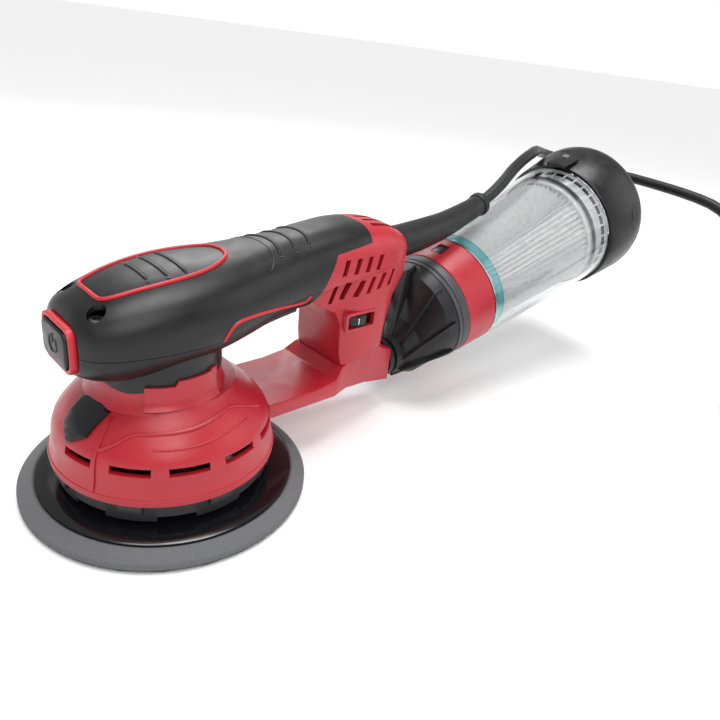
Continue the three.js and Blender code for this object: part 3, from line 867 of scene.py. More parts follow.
# x, half width, underside z, top z, squareness
HEAD = [
    (NOSE_X, 0.0190, 0.0805, 0.1065, 3.0), (-0.0455, 0.0235, 0.0790, 0.1100, 2.8),
    (-0.0410, 0.0270, 0.0770, 0.1130, 2.6), (-0.0320, 0.0310, 0.0750, 0.1170, 2.5),
    (-0.0180, 0.0345, 0.0755, 0.1210, 2.4), (0.0, 0.0360, 0.0775, 0.1240, 2.4),
    (0.0180, 0.0350, 0.0800, 0.1255, 2.4), (0.0350, 0.0320, 0.0835, 0.1265, 2.4),
    (0.0520, 0.0285, 0.0875, 0.1280, 2.4), (0.0700, 0.0260, 0.0900, 0.1300, 2.4),
    (0.0900, 0.0250, 0.0910, 0.1330, 2.6), (0.1100, 0.0250, 0.0920, 0.1350, 2.8),
    (0.1300, 0.0240, 0.0940, 0.1340, 3.0), (0.1420, 0.0225, 0.0980, 0.1315, 3.0),
    (0.1500, 0.0190, 0.1020, 0.1275, 3.0),
]
PARTING = [(-0.070, 0.0925), (0.010, 0.0935), (0.035, 0.0970), (0.060, 0.1015), (0.080, 0.1040)]
REAR_EDGE = [(0.080, 0.1040), (0.090, 0.1230), (0.116, 0.1270), (0.119, 0.1400)]
AROUND = 96
STATIONS = spline(HEAD, 5)


def head_rings(inset=0.0):
    rings = []
    for i, (x, w, low, high, power) in enumerate(STATIONS):
        end = inset if i == 0 else -inset if i == len(STATIONS) - 1 else 0
        ring = []
        for j in range(AROUND):
            angle = 2 * math.pi * j / AROUND
            c = math.cos(angle)
            s = math.sin(angle)
            y = (w - inset) * math.copysign(abs(c) ** (2 / power), c)
            z = (low + high) / 2 + ((high - low) / 2 - inset) * math.copysign(abs(s) ** (2 / power), s)
            ring.append((x + end, y, z))
        rings.append(ring)
    return rings


def head_skin(name):
    outer = rings_mesh(name, head_rings())
    inner = rings_mesh("inner", head_rings(WALL))
    return carve(outer, [inner])


def top_z(x, y):
    """The head's upper surface at a point of its plan."""
    for (x0, w0, l0, h0, p0), (x1, w1, l1, h1, p1) in zip(STATIONS, STATIONS[1:]):
        if x0 <= x <= x1:
            t = (x - x0) / (x1 - x0)
            w, low, high, power = (a + (b - a) * t for a, b in ((w0, w1), (l0, l1), (h0, h1), (p0, p1)))
            across = min(abs(y) / w, 0.999)
            return (low + high) / 2 + (high - low) / 2 * (1 - across ** power) ** (1 / power)
    raise ValueError(f"{x} is off the head")


def shifted(outline, dx, dz):
    return [(x + dx, z + dz) for x, z in outline]


SEAM = 0.00015  # half the gap between shells
SCREW = (-0.0393, 0.0164)


def nose_pocket():
    return slab("pocket", cut_corners(-0.0138, 0.0138, 0.0837, 0.1033, 0.004), NOSE_X - 0.01, NOSE_X + 0.008, along_x)


def cut_corners(a0, a1, b0, b1, c):
    return [(a0 + c, b0), (a1 - c, b0), (a1, b0 + c), (a1, b1 - c), (a1 - c, b1), (a0 + c, b1), (a0, b1 - c),
            (a0, b0 + c)]


def rounded(a0, a1, b0, b1, r, steps=6):
    """A rectangle with round corners."""
    points = []
    for (ca, cb), start in (((a1 - r, b1 - r), 0), ((a0 + r, b1 - r), 90), ((a0 + r, b0 + r), 180),
                            ((a1 - r, b0 + r), 270)):
        for k in range(steps + 1):
            angle = math.radians(start + 90 * k / steps)
            points.append((ca + r * math.cos(angle), cb + r * math.sin(angle)))
    return points


def head_pieces():
    above = shifted(PARTING, 0, SEAM) + shifted(REAR_EDGE, -SEAM, SEAM)[1:] + [(-0.070, 0.140)]
    upper = head_skin("upper_shell")
    carve(upper, [slab("above", above, -0.06, 0.06, along_y)], "INTERSECT")
    tools = [nose_pocket()]
    for side in (-1, 1):
        bore = lathe("bore", [(0.0, 0.107), (0.0041, 0.107), (0.0041, 0.125), (0.0, 0.125)], upright, 32,
                     (SCREW[0], side * SCREW[1]))
        tools.append(bore)
    carve(upper, tools)
    finish(upper, SOFT, "housing", ["head_shell_upper"], 34)
    below = shifted(PARTING, 0, -SEAM) + [(0.076, 0.097), (0.068, 0.060), (-0.070, 0.060)]
    lower = head_skin("lower_shell")
    carve(lower, [slab("below", below, -0.06, 0.06, along_y)], "INTERSECT")
    hole = lathe("hole", [(0.0, 0.06), (NECK_R + 0.0011, 0.06), (NECK_R + 0.0011, 0.093), (0.0, 0.093)], upright, 64,
                 (NECK_X, 0))
    carve(lower, [hole, nose_pocket()])
    finish(lower, SOFT, "housing", ["head_shell_lower"], 34)


head_pieces()


def screws():
    """The two screws at the bottom of the bores behind the nose."""
    for side, name in ((-1, "right"), (1, "left")):
        head = lathe(f"sunk_screw_{name}", [
            (0.0, 0.0960), (0.0017, 0.0960), (0.0017, 0.1074), (0.0037, 0.1074), (0.0037, 0.1086),
            (0.0032, 0.1091), (0.0015, 0.1091), (0.0015, 0.1079), (0.0, 0.1079),
        ], upright, 40, (SCREW[0], side * SCREW[1]))
        finish(head, DARK_STEEL, "housing", [f"head_screw_{name}"])


screws()


def top_loop():
    """The outline on the head's top, as plan points from the front round the left side and back."""
    half = [(-0.0362, 0.0), (-0.0360, 0.0080), (-0.0346, 0.0118), (-0.0300, 0.0143), (-0.0220, 0.0162),
            (-0.0110, 0.0180), (0.0020, 0.0186), (0.0140, 0.0168), (0.0240, 0.0125), (0.0295, 0.0075), (0.0316, 0.0)]
    left = spline(half, 8)
    right = [(x, -y) for x, y in reversed(left[1:-1])]
    return left + right


def top_details():
    loop = top_loop()
    path = [(x, y, top_z(x, y) + 0.0001) for x, y in loop]
    line = sweep("top_line", path, 0.00105, 10, closed=True)
    finish(line, TRIM, "housing", ["top_trim"])
    for i in range(3):
        ridge(f"front_ridge_{i}", -0.0140 + 0.0088 * i, 0.0002, 0.0115 + 0.0022 * i)
        ridge(f"rear_ridge_{i}", 0.0560 + 0.0100 * i, 0.0035, 0.0165 - 0.0006 * i)
    crown()


def ridge(name, x, lean, reach):
    """A raised bar across the top between two shallow grooves, with a pit at each end; the grooves and pits are
    near-black strips and discs on the surface, painted shade in place of recesses.
    """
    steps = 16
    for part, offset, radius, sink in (("bar", 0.0, 0.0011, 0.0004), ("groove", 0.0017, 0.0006, 0.0005)):
        path = []
        for k in range(steps + 1):
            y = reach * (2 * k / steps - 1)
            bend = lean * (1 - (y / reach) ** 2)
            place = x + offset + bend
            path.append((place, y, top_z(place, y) - sink))
        ends = [radius * 0.6] + [radius] * (steps - 1) + [radius * 0.6]
        bar = sweep(f"{name}_{part}", path, ends, 10)
        # the groove strips are near-black, painted shade in the grooves
        finish(bar, SOFT if part == "bar" else PAINTED_GROOVE_SHADE, "housing", ())
    for side, word in ((-1, "right"), (1, "left")):
        y = side * (reach + 0.0016)
        # each pit is a near-black disc on the surface, painted shade in place of a hole
        pit = lathe(f"{name}_pit_{word}", [(0.0, -0.0004), (0.0009, -0.0004), (0.0009, 0.00012), (0.0, 0.00012)],
                    lambda a, b, c, x=x, y=y: (x + a, y + b, top_z(x, y) + c), 16)
        finish(pit, PAINTED_GROOVE_SHADE, "housing", ())


def crown():
    """The arch-shaped panel line behind the top outline, over the handle's root."""
    path = []
    for k in range(25):
        t = math.pi * k / 24
        x = 0.044 + 0.010 * math.sin(t)
        y = 0.024 * math.cos(t)
        path.append((x, y, top_z(x, y) - 0.0003))
    line = sweep("handle_crease", path, 0.0006, 8)
    finish(line, SOFT, "housing", ())


top_details()


# ---- nose and button ------------------------------------------------------------------------


def frame_outline(outer, inner, low, high, name, place):
    ring = slab(name, outer, low, high, place)
    hole = slab("hole", inner, low - 0.01, high + 0.01, place)
    return carve(ring, [hole])


def nose():
    bezel = frame_outline(rounded(-0.0158, 0.0158, 0.0822, 0.1048, 0.006), rounded(-0.0138, 0.0138, 0.0842, 0.1028, 0.0045),
                          NOSE_X - 0.0030, NOSE_X + 0.0010, "nose_bezel", along_x)
    soften(bezel, 0.0005)
    finish(bezel, TRIM, "housing", ["front_bezel"])
    button = slab("button_face", rounded(-0.0132, 0.0132, 0.0848, 0.1022, 0.004), NOSE_X - 0.0042, NOSE_X - 0.001, along_x)
    soften(button, 0.0012, 4)
    stem = block("button_stem", (NOSE_X - 0.002, -0.004, 0.090), (NOSE_X + 0.004, 0.004, 0.097))
    carve(button, [stem], "UNION")
    finish(button, SATIN, "power_button", ["power_button"])
    arc = []
    for k in range(21):
        angle = math.radians(130 + 280 * k / 20)
        arc.append((NOSE_X - 0.0043, 0.0042 * math.cos(angle), 0.0935 + 0.0042 * math.sin(angle)))
    sign = sweep("button_sign_ring", arc, 0.00045, 6)
    finish(sign, GREY_RING, "power_button", ())
    stroke = sweep("button_sign_bar", [(NOSE_X - 0.0043, 0, 0.0940), (NOSE_X - 0.0043, 0, 0.0985)], 0.00045, 6)
    finish(stroke, GREY_RING, "power_button", ())


nose()


# ---- grip under the handle ------------------------------------------------------------------


def side_y(x, z):
    """The head's half width at a height."""
    for (x0, w0, l0, h0, p0), (x1, w1, l1, h1, p1) in zip(STATIONS, STATIONS[1:]):
        if x0 <= x <= x1:
            t = (x - x0) / (x1 - x0)
            w, low, high, power = (a + (b - a) * t for a, b in ((w0, w1), (l0, l1), (h0, h1), (p0, p1)))
            up = min(abs(z - (low + high) / 2) / ((high - low) / 2), 0.999)
            return w * (1 - up ** power) ** (1 / power)
    raise ValueError(f"{x} is off the head")


def grip():
    half = [(0.0128, 0.0940), (0.0150, 0.0985), (0.0190, 0.1018), (0.0260, 0.1030), (0.0412, 0.1026), (0.0540, 0.1012),
            (0.0640, 0.1000), (0.0690, 0.1002), (0.0715, 0.1035)]
    for side, word in ((-1, "right"), (1, "left")):
        path = [(x, side * (side_y(x, z) - 0.0001), z) for x, z in spline(half, 6)]
        edge = sweep(f"grip_line_{word}", path, 0.0009, 8)
        finish(edge, TRIM, "housing", ["grip_trim"])
    inlay = slab("grip_pad", rounded(0.0345, 0.0725, -0.0165, 0.0165, 0.005, 5), 0.07, 0.104, along_z)
    body = rings_mesh("grip_body", [[(x, y, z - 0.0018) for x, y, z in ring] for ring in head_rings()])
    carve(inlay, [body], "INTERSECT")
    core = rings_mesh("grip_core", [[(x, y, z + 0.0003) for x, y, z in ring] for ring in head_rings()])
    carve(inlay, [core])
    finish(inlay, SOFT, "housing", ["grip_inlay"])


grip()


# ---- rear housing, column and duct ----------------------------------------------------------

COLUMN = [
    (0.080, 0.1037), (0.077, 0.097), (0.086, 0.0915), (0.097, 0.086), (0.101, 0.078), (0.102, 0.060),
    (0.104, 0.0505), (0.133, 0.0585), (0.1335, 0.066), (0.135, 0.076), (0.140, 0.092), (0.150, 0.104),
    (0.150, 0.1127),
]
COLUMN_CORE = [
    (0.090, 0.103), (0.095, 0.093), (0.101, 0.088), (0.1033, 0.082), (0.1036, 0.056), (0.128, 0.062),
    (0.129, 0.070), (0.137, 0.094), (0.146, 0.106), (0.146, 0.120), (0.090, 0.120),
]
DUCT = [
    (0.044, 0.0335), (0.100, 0.0335), (0.130, 0.030), (0.158, 0.0225), (0.158, 0.0455), (0.150, 0.049),
    (0.1333, 0.0582), (0.104, 0.0502), (0.097, 0.044), (0.080, 0.042), (0.044, 0.042),
]
HANDLE_W = 0.024
DIAL = (0.1135, -0.0152, 0.080)
SLEEVE_Z = 0.1155


def plan_slab(name, sides, low, high):
    outline = [(x, -y) for x, y in sides] + [(x, y) for x, y in reversed(sides)]
    return slab(name, outline, low, high, along_z)


def sleeve_bore():
    points = [[(x, 0.0076 * math.cos(a), SLEEVE_Z + 0.0076 * math.sin(a))
               for a in (2 * math.pi * j / 40 for j in range(40))] for x in (0.140, 0.160)]
    return rings_mesh("sleeve_bore", points)


def rear_upper():
    region = shifted(REAR_EDGE, SEAM, 0) + [(0.160, 0.140), (0.160, 0.1135), (0.150, 0.113)]
    skin = head_skin("rear_cover")
    carve(skin, [slab("region", region, -0.06, 0.06, along_y)], "INTERSECT")
    tools = [sleeve_bore()]
    for i in range(4):
        x = 0.096 + 0.0088 * i
        tools.append(slanted_slot(x, 0.1105, 0.1195, 0.0017, 0.0012))
        y = -0.0115 + 0.0075 * i
        tools.append(block("louvre", (0.124, y - 0.0017, 0.127), (0.1445, y + 0.0017, 0.140)))
    carve(skin, tools)
    finish(skin, RED, "housing", ["rear_housing_upper"], 34)


def slanted_slot(x, z0, z1, half, lean):
    outline = [(x - half - lean, z0), (x + half - lean, z0), (x + half + lean, z1), (x - half + lean, z1)]
    return slab("slot", outline, -0.04, 0.04, along_y)


def rear_column():
    body = slab("rear_column", COLUMN, -0.04, 0.04, along_y)
    sides = [(0.070, HANDLE_W - 0.005), (0.100, HANDLE_W - 0.005), (0.112, HANDLE_W), (0.133, HANDLE_W),
             (0.151, HANDLE_W - 0.005)]
    carve(body, [plan_slab("plan", sides, 0.020, 0.120)], "INTERSECT")
    soften(body, 0.0022, 4, 24)
    core = slab("core", COLUMN_CORE, -0.04, 0.04, along_y)
    inner_sides = [(x, y - WALL) for x, y in sides]
    carve(core, [plan_slab("inner_plan", inner_sides, 0.020, 0.121)], "INTERSECT")
    tools = [core]
    for i in range(6):
        tools.append(slanted_slot(0.0935 + 0.0082 * i, 0.0925 + 0.0014 * i, 0.1030 + 0.0012 * i, 0.0016, 0.0020))
    tools.append(block("window", (DIAL[0] - 0.0102, -0.040, DIAL[2] - 0.0042), (DIAL[0] + 0.0102, -0.012, DIAL[2] + 0.0042)))
    tools.append(block("join", (0.070, -0.018, 0.096), (0.092, 0.018, 0.120)))
    tools.append(sleeve_bore())
    carve(body, tools)
    finish(body, RED, "housing", ["rear_housing_column"], 34)


def duct():
    body = slab("duct_body", DUCT, -0.04, 0.04, along_y)
    sides = [(0.040, 0.026), (0.098, 0.026), (0.112, 0.020), (0.135, 0.017), (0.160, 0.0125)]
    carve(body, [plan_slab("plan", sides, 0.010, 0.070)], "INTERSECT")
    soften(body, 0.0022, 4, 24)
    bulk = rings_mesh("bulk", [
        [((r + 0.0003) * math.cos(a), (r + 0.0003) * math.sin(a), z)
         for a in (2 * math.pi * j / 96 for j in range(96))]
        for r, z in [(SHROUD_R, 0.020)] + SHROUD_OUTSIDE])
    way = slab("way", [(0.040, 0.0355), (0.101, 0.0355), (0.132, 0.032), (0.159, 0.026), (0.159, 0.041),
                       (0.150, 0.044), (0.104, 0.046), (0.097, 0.040), (0.040, 0.040)], -0.010, 0.010, along_y)
    carve(body, [bulk, way])
    finish(body, RED, "housing", ["dust_duct"], 34)
    for i, x in enumerate((0.058, 0.103)):
        boss = lathe(f"duct_boss_{i}", [(0.0018, 0.0300), (0.0036, 0.0295), (0.0042, 0.0301), (0.0044, 0.0345),
                                        (0.0018, 0.0345)], upright, 40, (x, -0.016))
        finish(boss, RED, "housing", ())


rear_upper()
rear_column()
duct()


DIGITS = {
    "1": [[(-0.3, 0.6), (0.1, 1.0), (0.1, -1.0)]],
    "2": [[(-0.5, 0.6), (-0.1, 1.0), (0.4, 0.8), (0.5, 0.3), (-0.5, -1.0), (0.5, -1.0)]],
    "3": [[(-0.5, 0.9), (0.3, 1.0), (0.5, 0.5), (0.1, 0.1), (0.5, -0.4), (0.2, -1.0), (-0.5, -0.9)]],
    "4": [[(0.2, -1.0), (0.2, 1.0), (-0.5, -0.3), (0.5, -0.3)]],
    "5": [[(0.5, 1.0), (-0.4, 1.0), (-0.4, 0.1), (0.3, 0.2), (0.5, -0.3), (0.2, -1.0), (-0.5, -0.9)]],
    "6": [[(0.4, 0.9), (-0.1, 0.8), (-0.5, 0.0), (-0.4, -0.8), (0.2, -1.0), (0.5, -0.5), (0.1, 0.0), (-0.4, -0.2)]],
}


def dial():
    wheel_r = half_width("speed_dial")
    wheel = lathe("dial_wheel", [
        (0.0023, -0.0036), (wheel_r - 0.0008, -0.0036), (wheel_r, -0.0028), (wheel_r, 0.0028), (wheel_r - 0.0008, 0.0036),
        (0.0023, 0.0036),
    ], lambda x, y, z: (DIAL[0] + x, DIAL[1] + y, DIAL[2] + z), 96)
    finish(wheel, SATIN, "speed_dial", ["speed_dial"])
    for i, (digit, strokes) in enumerate(DIGITS.items()):
        turn = math.radians(-104 - 50 * i)
        for stroke in strokes:
            path = []
            for a, b in stroke:
                angle = turn + a * 0.0014 / wheel_r
                path.append((DIAL[0] + (wheel_r + 0.00005) * math.cos(angle),
                             DIAL[1] + (wheel_r + 0.00005) * math.sin(angle), DIAL[2] + b * 0.0019))
            mark = sweep(f"dial_number_{digit}", path, 0.00027, 6)
            finish(mark, INK, "speed_dial", ())
    for i in range(40):
        angle = 2 * math.pi * (i + 0.5) / 40
        for level, z in (("low", -0.0031), ("high", 0.0031)):
            r = wheel_r - 0.0002
            tooth = block(f"dial_tooth_{level}_{i}", (r - 0.0003, -0.0002, z - 0.0004), (r + 0.0003, 0.0002, z + 0.0004),
                          lambda x, y, z, c=turned(angle): tuple(a + b for a, b in zip(c(x, y, z), DIAL)))
            finish(tooth, SATIN, "speed_dial", ())
    rim = frame_outline(rounded(DIAL[0] - 0.0122, DIAL[0] + 0.0122, DIAL[2] - 0.0060, DIAL[2] + 0.0060, 0.002),
                        rounded(DIAL[0] - 0.0103, DIAL[0] + 0.0103, DIAL[2] - 0.0043, DIAL[2] + 0.0043, 0.001),
                        -HANDLE_W - 0.0004, -HANDLE_W + 0.0015, "dial_window_rim", along_y)
    finish(rim, RED, "housing", ())


dial()


# ---- port, adapter and canister -------------------------------------------------------------


def port_ring(name, x, z, r, tilt=0.0, count=96):
    ring = []
    for j in range(count):
        angle = 2 * math.pi * j / count
        up = r * math.sin(angle)
        ring.append((x - up * math.sin(tilt), r * math.cos(angle), z + up * math.cos(tilt)))
    return ring


def on_axis(s):
    return CAN_START[0] + s * math.cos(TILT), CAN_START[1] + s * math.sin(TILT)


def adapter():
    def stations(inset):
        return [
            port_ring("a", PORT[0] + 0.005, PORT[1], PORT_R + 0.003 - inset),
            port_ring("b", PORT[0] + 0.013, PORT[1] + 0.0005, PORT_R + 0.0035 - inset, 0.03),
            port_ring("c", PORT[0] + 0.022, PORT[1] + 0.004, 0.020 - inset, 0.1),
            port_ring("d", *on_axis(-0.018), 0.0345 - inset, TILT),
            port_ring("e", *on_axis(-0.010), 0.0368 - inset, TILT),
            port_ring("f", *on_axis(-0.0063), 0.0368 - inset, TILT),
        ]

    body = rings_mesh("adapter_body", stations(0))
    inner = rings_mesh("inner", [port_ring("g", PORT[0] + 0.004, PORT[1], PORT_R)] + stations(0.0024)[1:-1]
                       + [port_ring("h", *on_axis(-0.005), 0.0344, TILT)])
    carve(body, [inner])
    finish(body, ADAPTER, "canister", ["canister_adapter"], 34)
    for i, degrees in enumerate((-150, -110, -70, -30, 10, 50, 90, 130, 170)):
        angle = math.radians(degrees)
        points = []
        for side in (-0.0009, 0.0009):
            for (x, z), r, tilt in ((((PORT[0] + 0.010), PORT[1]), 0.0125, 0.0), (((PORT[0] + 0.010), PORT[1]), 0.0160, 0.0),
                                    (on_axis(-0.020), 0.0372, TILT), (on_axis(-0.012), 0.0378, TILT),
                                    (on_axis(-0.012), 0.034, TILT)):
                up = r * math.sin(angle) + side * math.cos(angle)
                across = r * math.cos(angle) - side * math.sin(angle)
                points.append((x - up * math.sin(tilt), across, z + up * math.cos(tilt)))
        faces = [(0, 1, 2, 3, 4), (5, 9, 8, 7, 6)] + [(k, (k + 1) % 5, (k + 1) % 5 + 5, k + 5) for k in range(5)]
        rib = raw_mesh(f"adapter_rib_{i}", points, faces)
        soften(rib, 0.0003)
        finish(rib, ADAPTER, "canister", ())
    lip = lathe("adapter_lip", [(0.0362, -0.0098), (0.0374, -0.0098), (0.0376, -0.0085), (0.0374, -0.0068),
                                (0.0362, -0.0068)], on_canister, 128)
    finish(lip, GREY_RING, "canister", ())


def tube_radius(s):
    return BAND_R[1] + (TUBE_END_R - BAND_R[1]) * (s - BAND_END) / (TUBE_END - BAND_END)


def canister():
    ring = lathe("grey_collar", [(0.0347, -0.0060), (0.0372, -0.0060), (0.0377, -0.0052), (0.0378, -0.0003),
                                 (0.0347, -0.0003)], on_canister)
    finish(ring, GREY_RING, "canister", ["canister_grey_ring"])
    band = lathe("red_collar", [(0.0347, 0.0), (BAND_R[0] - 0.0005, 0.0), (BAND_R[0], 0.0006),
                                (BAND_R[1], BAND_END - 0.0006), (BAND_R[1] - 0.0005, BAND_END), (0.0347, BAND_END)],
                 on_canister, 160)
    carve(band, [block("latch_hole", (-0.045, -0.0045, 0.008), (-0.030, 0.0045, 0.018), on_canister)])
    finish(band, RED, "canister", ["canister_band"], 34)
    latch = block("latch_key", (-0.0388, -0.0041, 0.0084), (-0.031, 0.0041, 0.0176), on_canister)
    soften(latch, 0.0005)
    finish(latch, SATIN, "release_latch", ["release_latch"])
    s0 = BAND_END + 0.0003
    tube = lathe("clear_tube", [(tube_radius(s0) - 0.002, s0), (tube_radius(s0), s0), (TUBE_END_R, TUBE_END),
                                (TUBE_END_R - 0.002, TUBE_END)], on_canister, 160)
    finish(tube, CLEAR, "canister", ["canister_tube"])
    tint = lathe("tinted_collar", [(0.0360, s0 + 0.0042), (0.0378, s0 + 0.0042), (0.0382, s0 + 0.0105),
                                   (0.0364, s0 + 0.0105)], on_canister, 128)
    finish(tint, TINTED, "canister", ())
    filter_pieces(s0)
    far_zone()
    cap()


PLEATS = 64


def filter_pieces(s0):
    def star(r_out, s, shrink=1.0):
        ring = []
        for i in range(4 * PLEATS):
            r = shrink * (r_out - (0.0, 0.0020, 0.0042, 0.0020)[i % 4])
            angle = 2 * math.pi * i / (4 * PLEATS)
            ring.append(on_canister(r * math.cos(angle), r * math.sin(angle), s))
        return ring

    front_s = s0 + 0.0038
    paper = rings_mesh("filter_folds", [
        star(FILTER_R[0], front_s), star(FILTER_R[1], 0.134), star(FILTER_R[1], 0.134, 0.6), star(FILTER_R[0], front_s, 0.65),
    ], closed=True)
    finish(paper, PAPER, "canister", ["pleated_filter"], 20)
    front = lathe("filter_front", [(0.015, s0 + 0.0005), (0.0365, s0 + 0.0005), (0.0365, s0 + 0.0035),
                                   (0.015, s0 + 0.0035)], on_canister)
    finish(front, WHITE, "canister", ["filter_front_plate"])
    end_r = FILTER_R[1] + 0.0010
    end = lathe("filter_end", [(0.0, 0.1343), (end_r - 0.0006, 0.1343), (end_r, 0.1350), (end_r, 0.1524),
                               (end_r - 0.0006, 0.1530), (0.0, 0.1530)], on_canister)
    finish(end, WHITE, "canister", ["filter_end_plate"])


def far_zone():
    """The seal, and the fine ribs of the clear tube's far end."""
    seal = lathe("far_seal", [(0.0444, 0.1385), (0.0459, 0.1385), (0.0459, 0.1405), (0.0444, 0.1405)], on_canister)
    finish(seal, RUBBER, "canister", ["canister_seal_ring"])
    for i in range(36):
        angle = 2 * math.pi * i / 36
        points = []
        for s in (0.1415, 0.1538):
            r = tube_radius(s) - 0.0024
            for k in (-1, 1):
                a = angle + k * 0.012
                points.append(on_canister((r - 0.0007) * math.cos(a), (r - 0.0007) * math.sin(a), s))
                points.append(on_canister(r * math.cos(a), r * math.sin(a), s))
        faces = [(0, 1, 3, 2), (4, 6, 7, 5), (0, 4, 5, 1), (2, 3, 7, 6), (1, 5, 7, 3), (0, 2, 6, 4)]
        rib = raw_mesh(f"clear_rib_{i}", points, faces)
        finish(rib, WHITE, "canister", ())
    rim = lathe("white_rim", [(0.0452, 0.1536), (0.0474, 0.1536), (0.0474, 0.1541), (0.0452, 0.1541)], on_canister)
    finish(rim, WHITE, "canister", ())


def cap():
    start = TUBE_END + 0.0003
    body = lathe("end_cap", [
        (0.0, CAP_END), (0.0425, CAP_END), (0.0470, CAP_END - 0.0008), (0.0510, CAP_END - 0.0030),
        (0.0534, CAP_END - 0.0062), (0.0545, CAP_END - 0.0105), (CAP_R, CAP_END - 0.0160), (CAP_RIM, start + 0.0008),
        (CAP_RIM - 0.0006, start), (CAP_RIM - 0.0040, start), (CAP_RIM - 0.0040, CAP_END - 0.012),
        (0.042, CAP_END - 0.005), (0.0, CAP_END - 0.005),
    ], on_canister, 160)
    finish(body, SATIN, "canister_cap", ["canister_cap"], 34)
    clip = block("cap_latch", (-CAP_RIM - 0.0048, -0.008, TUBE_END - 0.008), (-CAP_RIM - 0.0012, 0.008, TUBE_END + 0.014),
                 on_canister)
    soften(clip, 0.0012, 3)
    finish(clip, SATIN, "canister_cap", ["cap_clip"])
    for i in range(4):
        angle = math.radians(75 + 90 * i)
        path = []
        for k in range(-4, 5):
            turn = angle + 0.02 * k
            path.append(on_canister((CAP_R - 0.0002) * math.cos(turn), (CAP_R - 0.0002) * math.sin(turn), CAP_END - 0.020))
        mark = sweep(f"cap_mark_{i}", path, 0.0006, 6)
        finish(mark, GREY_RING, "canister_cap", ())


adapter()
canister()


# ---- cable sleeve, coil tie and plug --------------------------------------------------------

SLEEVE = [(0.1440, 0.0, 0.1155), (0.1503, 0.0, 0.1155), (0.1515, 0.0, 0.1155), (0.163, 0.0, 0.1162), (0.175, 0.0, 0.1175),
          (0.190, 0.0005, 0.1195), (0.205, 0.001, 0.122), (0.220, 0.002, 0.1255), (0.235, 0.003, 0.1295),
          (0.246, 0.0039, 0.1327)]
SLEEVE_RADII = [0.0073, 0.0073, 0.0103, 0.0105, 0.0104, 0.0098, 0.0090, 0.0082, 0.0075, 0.0072]


def cable_sleeve():
    stations = spline([(*point, r) for point, r in zip(SLEEVE, SLEEVE_RADII)], 4)
    body = sweep("sleeve_body", [s[:3] for s in stations], [s[3] for s in stations], 40)
    finish(body, RUBBER, "housing", ["cable_strain_relief"])
    start = Vector((0.2445, 0.0038, 0.1322))
    end = Vector((0.2490, 0.0042, 0.1337))
    collar = sweep("sleeve_collar", [tuple(start.lerp(end, k / 4)) for k in range(5)],
                   [0.0078, 0.0084, 0.0084, 0.0084, 0.0078], 40)
    finish(collar, RUBBER, "housing", ())


def coil_tie():
    x, y, r = COIL
    wide = CABLE_R * TURNS_WIDE + 0.0008
    high = 2 * CABLE_R * TURNS_HIGH + 0.0012
    angle = math.radians(150)
    path = []
    for a, b in rounded(r - wide, r + wide, 0.0009, high, 0.004, 5):
        path.append((x + a * math.cos(angle), y + a * math.sin(angle), b))
    tie = sweep("cable_tie", path, 0.0008, 8, closed=True)
    for vertex in tie.data.vertices:
        offset = (vertex.co.x - MOTOR_X - x) * -math.sin(angle) + (vertex.co.y - y) * math.cos(angle)
        vertex.co.x += 3.5 * offset * -math.sin(angle)
        vertex.co.y += 3.5 * offset * math.cos(angle)
    finish(tie, SATIN, "housing", ())


cable_sleeve()
coil_tie()


# ---- carried-over pieces --------------------------------------------------------------------

CARRIED = {
    HOOK: ["pad_hook_face"],
    STEEL: ["eccentric_hub", "pad_bearing", "counterweight", "motor_shaft", "lower_bearing", "rotor", "upper_bearing",
            "pad_spindle", "pad_screw", "speed_dial_axle", "head_screw_left", "head_screw_right", "cap_clip_screw",
            "plug_pin_left", "plug_pin_right"],
    COPPER: ["stator"],
    ALUMINIUM: ["bearing_plate", "upper_bearing_seat"],
    SATIN: ["cooling_fan", "power_switch", "board_capacitor"],
    BOARD: ["control_board"],
    RUBBER: ["plug_body", "port_seal"],
}


def dress_carried():
    for material, names in CARRIED.items():
        for name in names:
            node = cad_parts[name]
            node.data.materials.clear()
            node.data.materials.append(material)


dress_carried()


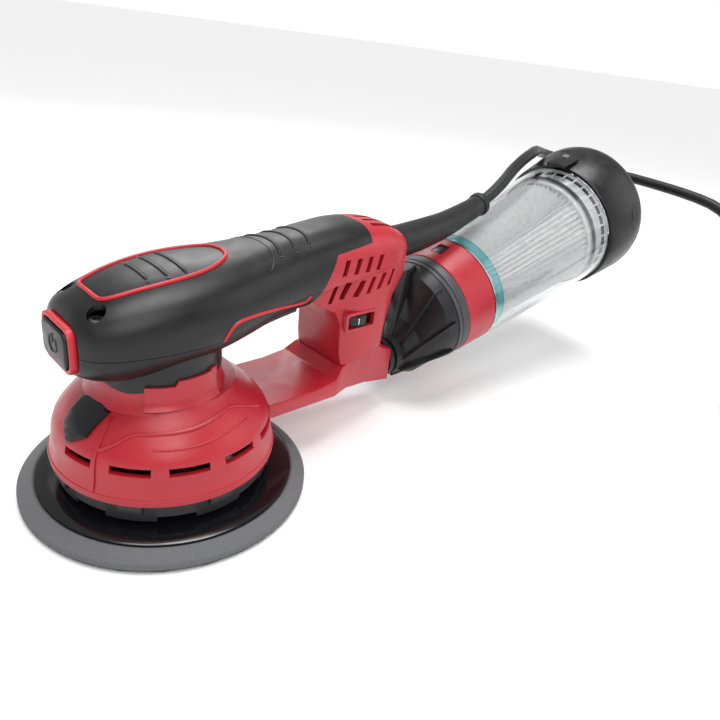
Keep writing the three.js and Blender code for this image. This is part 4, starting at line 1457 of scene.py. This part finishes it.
# ---- floor and light ------------------------------------------------------------------------


def studio():
    mesh = bpy.data.meshes.new("floor")
    mesh.from_pydata([(-60, -60, 0), (60, -60, 0), (60, 60, 0), (-60, 60, 0)], [], [(0, 1, 2, 3)])
    floor = bpy.data.objects.new("floor", mesh)
    floor.location.z = -0.0002
    floor.data.materials.append(new_material("pale_floor", (0.90, 0.90, 0.90), 0.9))
    bpy.context.scene.collection.objects.link(floor)
    world = bpy.data.worlds.new("studio")
    world.use_nodes = True
    world.node_tree.nodes["Background"].inputs["Color"].default_value = (1, 1, 1, 1)
    tree = world.node_tree
    place = tree.nodes.new("ShaderNodeTexCoord")
    split = tree.nodes.new("ShaderNodeSeparateXYZ")
    fade = tree.nodes.new("ShaderNodeMapRange")
    fade.inputs["From Min"].default_value = 0.12
    fade.inputs["From Max"].default_value = 0.35
    fade.inputs["To Min"].default_value = 1.0
    fade.inputs["To Max"].default_value = 0.42
    tree.links.new(place.outputs["Generated"], split.inputs["Vector"])
    tree.links.new(split.outputs["Z"], fade.inputs["Value"])
    tree.links.new(fade.outputs["Result"], tree.nodes["Background"].inputs["Strength"])
    bpy.context.scene.world = world
    for name, place, size, power in (
        ("key", (-0.45, -0.75, 0.95), 0.7, 5.0),
        ("fill", (0.75, -0.70, 0.70), 0.9, 2.5),
        ("back", (0.30, 0.90, 0.80), 0.6, 4.0),
        ("top", (0.05, 0.0, 1.10), 0.5, 2.5),
    ):
        data = bpy.data.lights.new(name, "AREA")
        data.shape = "DISK"
        data.size = size
        data.energy = power
        lamp = bpy.data.objects.new(name, data)
        lamp.location = place
        lamp.rotation_euler = (Vector((0, 0, 0.05)) - Vector(place)).to_track_quat("-Z", "Y").to_euler()
        bpy.context.scene.collection.objects.link(lamp)
    sun = bpy.data.objects.new("sun", bpy.data.lights.new("sun", "SUN"))
    sun.data.energy = 1.7
    sun.data.angle = math.radians(35)
    bpy.context.scene.collection.objects.link(sun)
    bpy.context.scene.view_settings.view_transform = "Standard"


studio()
